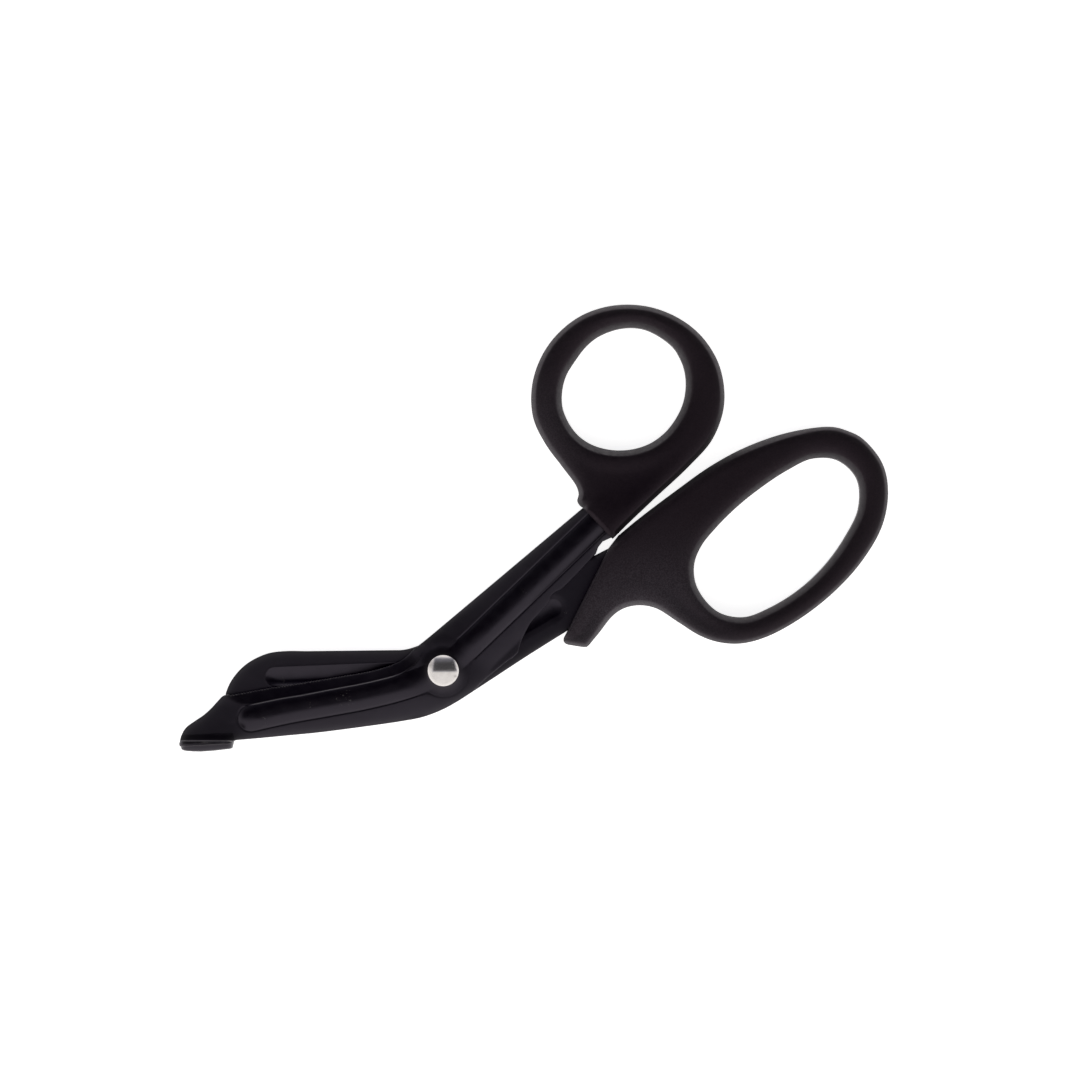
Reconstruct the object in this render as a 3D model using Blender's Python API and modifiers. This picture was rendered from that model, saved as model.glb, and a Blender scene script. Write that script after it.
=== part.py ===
"""Trauma shears: two stamped and ribbed levers on one rivet, each with a moulded loop handle.

The shears lie flat on z = 0, closed.  +X runs from the blades to the handles,
+Y towards the thumb loop, +Z up through the head of the rivet.  Every outline
below is drawn in millimetres about the rivet's axis; the rivet then stands at
PIVOT in the model's own frame, whose origin is the centre of the footprint.
"""

import math

import bmesh
import bpy
from mathutils import Matrix, Vector

# ---------------------------------------------------------------- dimensions, mm
MM = 0.001
PIVOT = (-26.75, -23.70)        # the rivet's axis, from the centre of the footprint

HANDLE_T = 10.0                 # thickness of both handles
MATE_Z = HANDLE_T / 2           # height of the plane where the levers slide
FACE_GAP = 0.30                 # clearance between the two sliding faces
SHEET = 2.0                     # stock of both levers
RIB_H = 1.2                     # how far a rib stands out of the sheet
RIB_W = 6.4                     # width of a blade's rib
RIB_SHELL = 2.0                 # stock left over the hollow of a rib
BOSS_R = 6.3                    # raised boss round the rivet
BORE_R = 2.5                    # hole for the rivet's shank
EDGE_LAND = 0.45                # stock left along the cutting edges

HANDLE_EDGE = 1.5               # rounding of the handles' edges
POCKET_GAP = 0.30               # clearance of the tangs in their pockets

FOOT_LEN = 13.6                 # blunt foot on the lower blade's nose
FOOT_T = 2.2
FOOT_H = 5.0                    # how far it stands in front of the sheet
FOOT_TURN = -22.0               # degrees from +X

SERRATION = 0.72                # pitch of the teeth on the lower blade's edge
TOOTH = 0.22                    # depth of the teeth

RIVET_R = 2.4
HEAD_R = 4.1
HEAD_H = 1.6
TAIL_R = 3.4
WASHER_R = 4.6
WASHER_T = 0.55
SEAT_GAP = 0.10                 # running gap under the head, the washer and the tail

FRONT0 = MATE_Z + FACE_GAP / 2  # front lever: sliding face
FRONT1 = FRONT0 + SHEET         # front lever: outer face
REAR1 = MATE_Z - FACE_GAP / 2   # rear lever: sliding face
REAR0 = REAR1 - SHEET           # rear lever: outer face


# ---------------------------------------------------------------- tidy start
for old in list(bpy.data.objects):
    bpy.data.objects.remove(old, do_unlink=True)

parts = bpy.data.collections.new("trauma_shears")
tools = bpy.data.collections.new("trauma_shears_cutters")
bpy.context.scene.collection.children.link(parts)
bpy.context.scene.collection.children.link(tools)

pivot = bpy.data.objects.new("pivot_axis", None)
pivot.location = (PIVOT[0] * MM, PIVOT[1] * MM, 0.0)
parts.objects.link(pivot)


# ---------------------------------------------------------------- drawing helpers
def smooth(points, per_mm=0.55, least=2):
    """Points along a smooth curve through the given ones, both ends included."""
    p = [Vector(q) for q in points]
    p = [2 * p[0] - p[1]] + p + [2 * p[-1] - p[-2]]
    out = []
    for i in range(1, len(p) - 2):
        a, b, c, d = p[i - 1 : i + 3]
        steps = max(least, int(round((c - b).length * per_mm)))
        ta = math.sqrt((b - a).length)
        tb = math.sqrt((c - b).length)
        tc = math.sqrt((d - c).length)
        m1 = ((b - a) / ta - (c - a) / (ta + tb) + (c - b) / tb) * tb
        m2 = ((c - b) / tb - (d - b) / (tb + tc) + (d - c) / tc) * tb
        for k in range(steps):
            t = k / steps
            out.append(
                (2 * t**3 - 3 * t**2 + 1) * b
                + (t**3 - 2 * t**2 + t) * m1
                + (-2 * t**3 + 3 * t**2) * c
                + (t**3 - t**2) * m2
            )
    out.append(p[-2])
    return [(q[0], q[1]) for q in out]


def closed_smooth(points, per_mm=0.55, least=2):
    """A smooth closed outline through the given points."""
    n = len(points)
    ring = [points[-2], points[-1]] + list(points) + [points[0], points[1], points[2]]
    pts = smooth(ring, per_mm, least)
    first = min(range(len(pts)), key=lambda i: (Vector(pts[i]) - Vector(points[0])).length)
    rest = pts[first + 1 :]
    last = min(range(len(rest)), key=lambda i: (Vector(rest[i]) - Vector(points[0])).length)
    assert n > 2
    return [pts[first]] + rest[:last]


def teeth(points, pitch, depth, side):
    """A saw-tooth line along a row of points; side is +1 to cut into the left of it."""
    pts = [Vector(q) for q in smooth(points, 1.0)]
    total = sum((b - a).length for a, b in zip(pts, pts[1:]))
    count = max(1, int(round(total / pitch)))
    out = []
    for k in range(2 * count + 1):
        want = total * k / (2 * count)
        run = 0.0
        for a, b in zip(pts, pts[1:]):
            step = (b - a).length
            if run + step >= want - 1e-9:
                break
            run += step
        t = (want - run) / step
        q = a + (b - a) * t
        n = Vector((-(b - a).y, (b - a).x)).normalized()
        q = q + n * (side * depth if k % 2 else 0.0)
        out.append((q.x, q.y))
    return out


def tidy(points, least=0.02):
    out = []
    for q in points:
        if not out or (Vector(q) - Vector(out[-1])).length > least:
            out.append(q)
    if (Vector(out[0]) - Vector(out[-1])).length <= least:
        out.pop()
    return out


def grown(points, by):
    """A polygon, drawn anticlockwise, moved outwards by a distance on every side."""
    out = []
    n = len(points)
    for i in range(n):
        a, b, c = Vector(points[i - 1]), Vector(points[i]), Vector(points[(i + 1) % n])
        u, v = (b - a).normalized(), (c - b).normalized()
        nu, nv = Vector((u.y, -u.x)), Vector((v.y, -v.x))
        m = (nu + nv) / (1 + nu.dot(nv))
        out.append(tuple(b + m * by))
    return out


# ---------------------------------------------------------------- solids
def as_mesh(curve_object):
    """The curve's solid as a mesh object, with its caps welded on."""
    bpy.context.view_layer.update()
    graph = bpy.context.evaluated_depsgraph_get()
    mesh = bpy.data.meshes.new_from_object(curve_object.evaluated_get(graph))
    name, matrix = curve_object.name, curve_object.matrix_world.copy()
    home = curve_object.users_collection[0]
    old = curve_object.data
    bpy.data.objects.remove(curve_object, do_unlink=True)
    bpy.data.curves.remove(old)
    solid = bmesh.new()
    solid.from_mesh(mesh)
    bmesh.ops.remove_doubles(solid, verts=solid.verts, dist=1e-6)
    bmesh.ops.recalc_face_normals(solid, faces=solid.faces)
    solid.to_mesh(mesh)
    solid.free()
    mesh.name = name
    obj = bpy.data.objects.new(name, mesh)
    obj.matrix_world = matrix
    home.objects.link(obj)
    obj.parent = pivot
    return obj


def slab(name, outlines, z0, z1, home, edge=0.0, rings=2):
    """Flat outlines filled and given a thickness, with rounded edges where edge is set."""
    data = bpy.data.curves.new(name, "CURVE")
    data.dimensions = "2D"
    data.fill_mode = "BOTH"
    for points in outlines:
        points = tidy(points)
        line = data.splines.new("POLY")
        line.points.add(len(points) - 1)
        for q, p in zip(points, line.points):
            p.co = (q[0] * MM, q[1] * MM, 0.0, 1.0)
        line.use_cyclic_u = True
    data.extrude = ((z1 - z0) / 2 - edge) * MM
    if edge:
        data.bevel_depth = edge * MM
        data.bevel_resolution = rings
        data.offset = -edge * MM
    obj = bpy.data.objects.new(name, data)
    obj.location.z = (z0 + z1) / 2 * MM
    home.objects.link(obj)
    return as_mesh(obj)


def rounded_bar(name, points, radius, z, start_round=True, end_round=True, sides=10):
    """A round bar along a line at one height, with ball ends."""
    pts = [Vector((q[0], q[1], z)) for q in points]
    first, last = (pts[0] - pts[1]).normalized(), (pts[-1] - pts[-2]).normalized()
    line = [(p, 1.0) for p in pts]
    turns = [15, 30, 45, 60, 72, 82, 88]
    if start_round:
        head = [(pts[0] + first * radius * math.sin(math.radians(t)), math.cos(math.radians(t))) for t in turns]
        line = head[::-1] + line
    if end_round:
        tail = [(pts[-1] + last * radius * math.sin(math.radians(t)), math.cos(math.radians(t))) for t in turns]
        line = line + tail
    data = bpy.data.curves.new(name, "CURVE")
    data.dimensions = "3D"
    data.twist_mode = "Z_UP"
    data.bevel_depth = radius * MM
    data.bevel_resolution = sides
    data.use_fill_caps = True
    spline = data.splines.new("POLY")
    spline.points.add(len(line) - 1)
    for (q, r), p in zip(line, spline.points):
        p.co = (q.x * MM, q.y * MM, q.z * MM, 1.0)
        p.radius = r
    obj = bpy.data.objects.new(name, data)
    tools.objects.link(obj)
    return as_mesh(obj)


def turned(name, profile, home, count=40):
    """A solid of revolution about the rivet's axis, from a closed half-section (r, z) that starts and ends on the axis."""
    mesh = bpy.data.meshes.new(name)
    mesh.from_pydata([(r * MM, 0.0, z * MM) for r, z in profile], [(i, i + 1) for i in range(len(profile) - 1)], [])
    obj = bpy.data.objects.new(name, mesh)
    home.objects.link(obj)
    obj.parent = pivot
    screw = obj.modifiers.new("turn", "SCREW")
    screw.axis = "Z"
    screw.steps = count
    screw.render_steps = count
    screw.use_merge_vertices = True
    screw.merge_threshold = 1e-6
    return obj


def ring(name, r_in, r_out, z0, z1, home, count=40):
    """A flat washer: a closed half-section turned about the axis."""
    mesh = bpy.data.meshes.new(name)
    c = 0.1
    section = [(r_out, z1 - c), (r_out, z0 + c), (r_out - c, z0), (r_in, z0), (r_in, z1), (r_out - c, z1)]
    mesh.from_pydata(
        [(r * MM, 0.0, z * MM) for r, z in section],
        [(i, (i + 1) % len(section)) for i in range(len(section))],
        [],
    )
    obj = bpy.data.objects.new(name, mesh)
    home.objects.link(obj)
    obj.parent = pivot
    screw = obj.modifiers.new("turn", "SCREW")
    screw.steps = count
    screw.render_steps = count
    screw.use_merge_vertices = True
    screw.merge_threshold = 1e-6
    return obj


def cylinder(name, radius, z0, z1, count=40):
    data = bpy.data.meshes.new(name)
    solid = bmesh.new()
    bmesh.ops.create_cone(
        solid, cap_ends=True, segments=count, radius1=radius * MM, radius2=radius * MM, depth=(z1 - z0) * MM
    )
    bmesh.ops.translate(solid, verts=solid.verts, vec=(0, 0, (z0 + z1) / 2 * MM))
    solid.to_mesh(data)
    solid.free()
    obj = bpy.data.objects.new(name, data)
    tools.objects.link(obj)
    obj.parent = pivot
    return obj


def block(name, lo, hi):
    data = bpy.data.meshes.new(name)
    solid = bmesh.new()
    bmesh.ops.create_cube(solid, size=1.0)
    for v in solid.verts:
        v.co = Vector([(lo[i] + (v.co[i] + 0.5) * (hi[i] - lo[i])) * MM for i in range(3)])
    solid.to_mesh(data)
    solid.free()
    obj = bpy.data.objects.new(name, data)
    tools.objects.link(obj)
    obj.parent = pivot
    return obj


def loft(name, sections):
    """A closed solid through a row of sections with as many corners each."""
    data = bpy.data.meshes.new(name)
    solid = bmesh.new()
    rows = [[solid.verts.new([c * MM for c in q]) for q in s] for s in sections]
    n = len(rows[0])
    for a, b in zip(rows, rows[1:]):
        for i in range(n):
            solid.faces.new((a[i], a[(i + 1) % n], b[(i + 1) % n], b[i]))
    solid.faces.new(rows[0][::-1])
    solid.faces.new(rows[-1])
    bmesh.ops.triangulate(solid, faces=solid.faces)
    bmesh.ops.recalc_face_normals(solid, faces=solid.faces)
    solid.to_mesh(data)
    solid.free()
    obj = bpy.data.objects.new(name, data)
    tools.objects.link(obj)
    obj.parent = pivot
    return obj


def boolean(obj, operation, tool):
    m = obj.modifiers.new(operation.lower() + "_" + tool.name, "BOOLEAN")
    m.operation = operation
    m.object = tool
    m.solver = "EXACT"
    tool.hide_render = True
    tool.display_type = "WIRE"
    return m


def finish_material(obj, colour, roughness, metallic):
    mat = bpy.data.materials.new(obj.name + "_material")
    mat.use_nodes = True
    shader = mat.node_tree.nodes["Principled BSDF"]
    shader.inputs["Base Color"].default_value = (*colour, 1.0)
    shader.inputs["Roughness"].default_value = roughness
    shader.inputs["Metallic"].default_value = metallic
    obj.data.materials.clear()
    obj.data.materials.append(mat)


def rib_parts(name, line, hollow_line, width, outer_face, up, start_round, end_round):
    """The raised arch of a rib and the hollow behind it, which stops short of the rivet. up is +1 on the front lever and -1 on the rear one."""
    half = width / 2
    radius = (half * half + RIB_H * RIB_H) / (2 * RIB_H)
    centre = outer_face - up * (radius - RIB_H)
    arch = rounded_bar(name + "_arch", line, radius, centre, start_round, end_round)
    z_a, z_b = outer_face - up * SHEET * 0.5, outer_face + up * (RIB_H + 1.0)
    keep = block(name + "_slab", (-70, -30, min(z_a, z_b)), (70, 40, max(z_a, z_b)))
    boolean(arch, "INTERSECT", keep)
    hollow = rounded_bar(name + "_hollow", hollow_line, radius - RIB_SHELL, centre)
    return arch, hollow


# ---------------------------------------------------------------- the front lever
NOSE = [(-68.2, 8.0), (-67.15, 9.45), (-65.3, 10.95), (-62.55, 11.75), (-60.0, 12.3), (-57.5, 13.2), (-55.3, 14.25), (-53.6, 14.95), (-52.1, 14.7)]
LOWER_EDGE = [(-52.1, 14.5), (-42.0, 12.45), (-33.6, 10.5), (-24.6, 8.5), (-16.9, 6.85), (-11.4, 6.25)]
HEEL = [(-11.4, 6.25), (-9.2, 6.3), (-6.9, 6.9), (-5.2, 7.65), (-3.6, 8.2), (-1.9, 8.7), (0.4, 9.4)]
FRONT_TANG_IN = [(50.6, 17.1), (52.9, 18.4), (60.5, 22.4), (62.3, 25.0), (60.5, 28.3), (57.0, 28.0), (47.8, 24.9)]
FLANGE = [(51.0, 15.6), (49.3, 15.2), (47.8, 14.3), (46.5, 12.9)]
FLANGE_STEP = [(46.5, 12.9), (40.0, 9.95), (36.2, 8.35), (35.1, 7.95), (33.4, 7.85), (32.0, 7.2), (31.4, 6.3), (29.2, 5.1)]
FLANGE_LOW = [(29.2, 5.1), (27.4, 4.3), (25.1, 3.2), (23.3, 1.8), (21.0, -0.3), (19.9, -1.6), (19.2, -2.6), (18.0, -3.2), (15.1, -3.95), (8.4, -6.1), (4.9, -7.6)]
BACK_OF_BLADE = [(4.9, -7.6), (0.05, -8.5), (-4.1, -8.95), (-9.25, -8.8), (-15.05, -7.65), (-24.95, -5.2), (-35.2, -2.5), (-42.6, -0.3), (-49.0, 1.6), (-54.65, 3.35)]

front_outline = (
    smooth(NOSE)
    + teeth(LOWER_EDGE, SERRATION, TOOTH, -1)
    + smooth(HEEL)
    + FRONT_TANG_IN[::-1]
    + FLANGE
    + smooth(FLANGE_STEP)
    + smooth(FLANGE_LOW)
    + smooth(BACK_OF_BLADE, 0.35)
    + [(-55.6, 3.45)]
)
lower_blade = slab("lower_blade", [front_outline], FRONT0, FRONT1, parts)

FRONT_RIB = [(-49.2, 7.1), (-40.0, 5.55), (-30.0, 3.45), (-20.0, 1.45), (-10.0, 0.15), (0.0, 0.0)]
RIB_TANG_TURN = 21.9
front_line = smooth(FRONT_RIB, 0.3)
front_rib, front_hollow = rib_parts(
    "front_blade_rib", front_line, [q for q in front_line if q[0] < -8.2], RIB_W, FRONT1, 1, True, False
)
t = math.radians(RIB_TANG_TURN)
tang_line = [(0.0, 0.0), (48.6 * math.cos(t), 48.6 * math.sin(t))]
tang_rib, tang_hollow = rib_parts(
    "front_tang_rib", tang_line, [(8.4 * math.cos(t), 8.4 * math.sin(t)), tang_line[1]], RIB_W - 0.3, FRONT1, 1, False, True
)

front_boss = turned(
    "front_boss",
    [(0, FRONT1 + RIB_H), (4.4, FRONT1 + RIB_H), (5.1, FRONT1 + RIB_H - 0.2), (5.8, FRONT1 + 0.45), (BOSS_R, FRONT1 - 0.1), (BOSS_R, FRONT1 - 0.7), (0, FRONT1 - 0.7)],
    tools,
)

# the ground bevel, from the rib's foot down to the toothed edge
bevel_rows = []
for x in (-51.5, -48.0, -42.0, -36.0, -30.0, -24.0, -18.0, -12.5, -9.5):
    edge_y = 14.45 - (x + 52.1) * 0.2175 if x < -19 else 7.3 - (x + 19) * 0.13
    foot_y = {-51.5: 12.6, -48.0: 10.75, -42.0: 9.35, -36.0: 8.0, -30.0: 6.85, -24.0: 5.65, -18.0: 4.45, -12.5: 3.75, -9.5: 3.9}[x]
    drop = (SHEET - EDGE_LAND) * (0.35 if x < -50 or x > -10 else 1.0)
    slope = drop / (edge_y - foot_y)
    far_y = edge_y + 1.2
    near_y = foot_y - 0.15
    bevel_rows.append(
        [(x, near_y, FRONT1 + slope * 0.15), (x, far_y, FRONT1 - slope * (far_y - foot_y)), (x, far_y, FRONT1 + 2), (x, near_y, FRONT1 + 2)]
    )
front_bevel = loft("front_bevel", bevel_rows)

# the blunt foot: the nose's edge bent up towards the front
foot_centre = Vector((-61.95, 5.25))
turn = math.radians(FOOT_TURN)


def foot_point(u, v):
    return (
        foot_centre.x + u * math.cos(turn) - v * math.sin(turn),
        foot_centre.y + u * math.sin(turn) + v * math.cos(turn),
    )


L = FOOT_LEN / 2
foot_plan = smooth([(-L + 0.35, -1.2), (-L + 1.3, -1.5), (-3.8, -1.66), (-1.6, -1.7), (2.1, -1.4), (L - 0.9, -0.9)], 1.0)
foot_plan = foot_plan + [(L - 0.3, -0.45), (L, 0.35), (L - 0.15, 0.75), (0.0, FOOT_T - 1.35), (-L + 0.4, 1.0), (-L, 0.2)]
foot = slab("foot", [[foot_point(u, v) for u, v in foot_plan]], FRONT0, FRONT1 + FOOT_H, tools)

# its side view: the bend's outside radius below, and rounded corners above
HALF = L + 1.0
TOP = FRONT1 + FOOT_H
CORNER = 2.6
side = [(-HALF, FRONT0 - 1), (HALF, FRONT0 - 1), (HALF, TOP - CORNER - 0.5)]
side += [(L + 0.1 - CORNER + CORNER * math.cos(math.radians(a)), TOP - CORNER + CORNER * math.sin(math.radians(a))) for a in range(0, 91, 15)]
side += [(-L - 0.1 + CORNER - CORNER * math.sin(math.radians(a)), TOP - CORNER + CORNER * math.cos(math.radians(a))) for a in range(0, 91, 15)]
side += [(-HALF, TOP - CORNER - 0.5)]
foot_side = loft(
    "foot_side",
    [[(*foot_point(u, v), z) for u, z in side] for v in (-3.0, 3.0)],
)
boolean(foot, "INTERSECT", foot_side)
R = 2.0
end = [(3.5, FRONT0 - 0.5), (3.5, TOP + 1), (-1.3, TOP + 1), (-1.4, TOP - 1.6)]
end += [(-1.95, FRONT0 + R + 0.6)]
end += [(-1.85 + R - R * math.cos(math.radians(a)), FRONT0 + R - R * math.sin(math.radians(a))) for a in range(0, 91, 15)]
end[-1] = (end[-1][0], FRONT0 - 0.5)
foot_end = loft(
    "foot_end",
    [[(*foot_point(u, v), z) for v, z in end] for u in (-HALF, HALF)],
)
boolean(foot, "INTERSECT", foot_end)

front_bore = cylinder("front_bore", BORE_R, FRONT0 - 3, FRONT1 + 4)

for operation, tool in (
    ("UNION", front_rib),
    ("UNION", tang_rib),
    ("UNION", front_boss),
    ("UNION", foot),
    ("DIFFERENCE", front_bevel),
    ("DIFFERENCE", front_hollow),
    ("DIFFERENCE", tang_hollow),
    ("DIFFERENCE", front_bore),
):
    boolean(lower_blade, operation, tool)

# ---------------------------------------------------------------- the rear lever
UPPER_TOP = [(-52.9, 15.3), (-51.75, 16.55), (-50.35, 17.75), (-47.7, 19.3), (-45.15, 20.2), (-42.2, 20.65), (-38.85, 20.55), (-34.9, 19.45), (-29.85, 17.4)]
UPPER_HEEL = [(-29.85, 17.4), (-19.9, 13.5), (-9.9, 9.6), (-7.95, 8.85), (-5.95, 8.4), (-3.0, 8.25), (1.0, 8.35), (10.0, 9.1)]
REAR_TANG_IN = [(46.6, 12.7), (50.0, 13.0), (57.5, 13.6), (61.0, 11.5), (61.3, 6.0), (58.5, 2.6), (48.9, 0.7)]
REAR_BOTTOM = [(32.3, -2.4), (20.1, -4.6), (10.05, -6.6), (4.0, -7.75), (0.0, -8.2), (-3.5, -7.8), (-6.7, -6.2), (-9.0, -3.4), (-10.6, -1.2), (-12.5, 0.18)]
UPPER_EDGE = [(-12.5, 0.18), (-51.8, 10.8)]
UPPER_TIP = [(-51.8, 10.8), (-53.2, 11.8), (-53.7, 13.4), (-52.9, 15.3)]

rear_outline = (
    smooth(UPPER_TOP)
    + smooth(UPPER_HEEL)
    + REAR_TANG_IN
    + smooth(REAR_BOTTOM)
    + UPPER_EDGE
    + smooth(UPPER_TIP, 1.0)
)
upper_blade = slab("upper_blade", [rear_outline], REAR0, REAR1, parts)

rear_rib, rear_hollow = rib_parts(
    "rear_blade_rib", [(-39.9, 14.5), (0.0, 0.2)], [(-39.9, 14.5), (-8.0, 3.07)], RIB_W, REAR0, -1, True, False
)
rear_tang_rib, rear_tang_hollow = rib_parts(
    "rear_tang_rib", [(0.0, 0.0), (31.5, 4.3)], [(8.4, 1.15), (31.5, 4.3)], RIB_W, REAR0, -1, False, True
)
rear_boss = turned(
    "rear_boss",
    [(0, REAR0 + 0.7), (BOSS_R, REAR0 + 0.7), (BOSS_R, REAR0 + 0.1), (5.8, REAR0 - 0.45), (5.1, REAR0 - RIB_H + 0.2), (4.9, REAR0 - RIB_H), (0, REAR0 - RIB_H)],
    tools, 44,
)
bevel_rows = []
for x in (-52.7, -48.0, -40.0, -32.0, -24.0, -16.0, -11.1):
    edge_y = 0.18 - (x + 12.5) * (10.8 - 0.18) / (51.8 - 12.5)
    foot_y = edge_y + {-52.7: 1.0, -48.0: 2.6, -40.0: 2.6, -32.0: 2.4, -24.0: 1.7, -16.0: 1.3, -11.1: 0.9}[x]
    slope = (SHEET - EDGE_LAND) / (foot_y - edge_y) * (0.5 if x < -50 or x > -14 else 1.0)
    far_y = edge_y - 1.2
    near_y = foot_y + 0.15
    bevel_rows.append(
        [(x, near_y, REAR0 - slope * 0.15), (x, far_y, REAR0 + slope * (foot_y - far_y)), (x, far_y, REAR0 - 2), (x, near_y, REAR0 - 2)]
    )
rear_bevel = loft("rear_bevel", bevel_rows)
rear_bore = cylinder("rear_bore", BORE_R, REAR0 - 3, REAR1 + 2)

for operation, tool in (
    ("UNION", rear_rib),
    ("DIFFERENCE", rear_bevel),
    ("UNION", rear_tang_rib),
    ("UNION", rear_boss),
    ("DIFFERENCE", rear_hollow),
    ("DIFFERENCE", rear_tang_hollow),
    ("DIFFERENCE", rear_bore),
):
    boolean(upper_blade, operation, tool)

# ---------------------------------------------------------------- the rivet and its washer
HEAD0 = FRONT1 + RIB_H + SEAT_GAP
WASHER1 = REAR0 - RIB_H - SEAT_GAP
WASHER0 = WASHER1 - WASHER_T
TAIL1 = WASHER0 - SEAT_GAP
dome = [(HEAD_R * math.sin(math.radians(a)), HEAD0 + 0.5 + (HEAD_H - 0.5) * math.cos(math.radians(a))) for a in range(0, 91, 10)]
tail = [(TAIL_R * math.sin(math.radians(a)), TAIL1 - 0.3 - (TAIL1 - 0.3) * math.cos(math.radians(a))) for a in range(90, -1, -15)]
dome[0] = (0.0, dome[0][1])
tail[-1] = (0.0, 0.0)
rivet_profile = dome + [(HEAD_R - 0.15, HEAD0), (RIVET_R, HEAD0), (RIVET_R, TAIL1), (TAIL_R - 0.1, TAIL1)] + tail
pivot_rivet = turned("pivot_rivet", rivet_profile, parts)
rivet_washer = ring("rivet_washer", BORE_R, WASHER_R, WASHER0, WASHER1, parts)

# ---------------------------------------------------------------- the thumb handle
THUMB_FRONT = [(51.9, 14.85), (51.2, 16.2), (47.85, 24.9)]
THUMB_RING = [
    (47.85, 24.9), (47.4, 25.6), (47.2, 27.0), (48.2, 28.5), (48.4, 30.6), (47.05, 36.0), (45.15, 43.4), (44.75, 50.5), (47.15, 57.5),
    (51.55, 63.2), (57.55, 67.4), (65.4, 69.75), (73.6, 69.2), (81.8, 65.7), (88.1, 59.9), (91.85, 53.0), (93.0, 44.6),
    (90.45, 35.6), (84.55, 28.7), (76.7, 24.65), (65.2, 20.2), (56.6, 16.8), (53.7, 15.55),
]
thumb_outline = THUMB_FRONT[:2] + smooth(THUMB_RING, 0.3, 2)
THUMB_HOLE = [
    (83.8, 54.3), (79.3, 60.4), (73.9, 63.0), (67.6, 63.3), (63.5, 62.0), (60.0, 59.9), (56.6, 57.4), (54.1, 54.1), (52.6, 50.3),
    (52.5, 46.4), (53.4, 42.6), (55.4, 39.3), (58.3, 36.7), (61.8, 34.8), (65.8, 33.7), (69.9, 33.6), (74.1, 34.7), (77.8, 36.8),
    (80.9, 39.6), (83.1, 43.0), (84.4, 46.8), (84.6, 50.5),
]
thumb_handle = slab("thumb_handle", [thumb_outline, closed_smooth(THUMB_HOLE, 0.3, 2)], 0.0, HANDLE_T, parts, HANDLE_EDGE, 2)

thumb_tang = [(47.0, 13.5), (50.9, 16.4), *FRONT_TANG_IN[1:6], (46.0, 24.3)]
thumb_pocket = slab("thumb_pocket", [grown(thumb_tang, POCKET_GAP)], FRONT0 - POCKET_GAP, FRONT1 + POCKET_GAP, tools)
boolean(thumb_handle, "DIFFERENCE", thumb_pocket)

# ---------------------------------------------------------------- the finger handle
FINGER_FRONT = [(50.2, 13.1), (32.1, -2.9), (31.1, -3.7), (30.8, -4.5), (31.2, -5.3), (32.9, -6.45), (34.9, -7.6), (35.7, -7.9)]
FINGER_RING = [
    (36.4, -7.65), (39.9, -5.75), (44.3, -3.25), (46.9, -2.5), (49.3, -2.5), (52.3, -3.35), (55.5, -5.5), (59.55, -11.1), (63.1, -15.95),
    (66.85, -19.2), (71.9, -21.6), (78.5, -22.45), (88.05, -21.35), (98.1, -18.45), (107.6, -13.9), (115.8, -7.5), (120.4, -0.1),
    (121.75, 7.0), (119.5, 14.6), (116.8, 17.8), (113.2, 20.4), (103.05, 23.05), (92.0, 23.7), (81.95, 22.65), (70.95, 20.05), (60.0, 17.1), (53.5, 15.05),
]
FINGER_HOLE = [
    (67.0, -4.5), (68.3, 0.9), (71.7, 4.7), (77.2, 7.8), (84.2, 10.7), (92.1, 13.0), (99.0, 14.35), (105.95, 14.7),
    (111.8, 11.9), (114.5, 5.8), (112.1, -1.2), (106.3, -6.6), (98.9, -11.3), (90.95, -14.45), (82.0, -16.05), (74.95, -15.75), (69.4, -11.85),
]
finger_outline = FINGER_FRONT + smooth(FINGER_RING, 0.25, 2)
finger_handle = slab(
    "finger_handle",
    [finger_outline, closed_smooth(FINGER_HOLE, 0.3, 2)],
    0.0, HANDLE_T, parts, HANDLE_EDGE, 2,
)
finger_tang = [(26.0, -4.0), (32.3, -2.4), REAR_TANG_IN[6], REAR_TANG_IN[5], REAR_TANG_IN[4], REAR_TANG_IN[3], REAR_TANG_IN[2], REAR_TANG_IN[1], REAR_TANG_IN[0], (40.0, 12.1)]
finger_pocket = slab("finger_pocket", [grown(finger_tang, POCKET_GAP)], REAR0 - POCKET_GAP, REAR1 + POCKET_GAP, tools)
boolean(finger_handle, "DIFFERENCE", finger_pocket)

# ---------------------------------------------------------------- finishes
COATED_STEEL = ((0.018, 0.018, 0.020), 0.38, 0.6)
BLACK_PLASTIC = ((0.014, 0.012, 0.012), 0.55, 0.0)
BRIGHT_STEEL = ((0.62, 0.61, 0.60), 0.22, 1.0)
for obj, look in (
    (lower_blade, COATED_STEEL),
    (upper_blade, COATED_STEEL),
    (pivot_rivet, BRIGHT_STEEL),
    (rivet_washer, BRIGHT_STEEL),
    (thumb_handle, BLACK_PLASTIC),
    (finger_handle, BLACK_PLASTIC),
):
    finish_material(obj, *look)
    obj.data.shade_smooth()
    obj.data.set_sharp_from_angle(angle=math.radians(35))
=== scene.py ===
import math

import bpy
import numpy as np
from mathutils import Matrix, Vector, geometry


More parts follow.
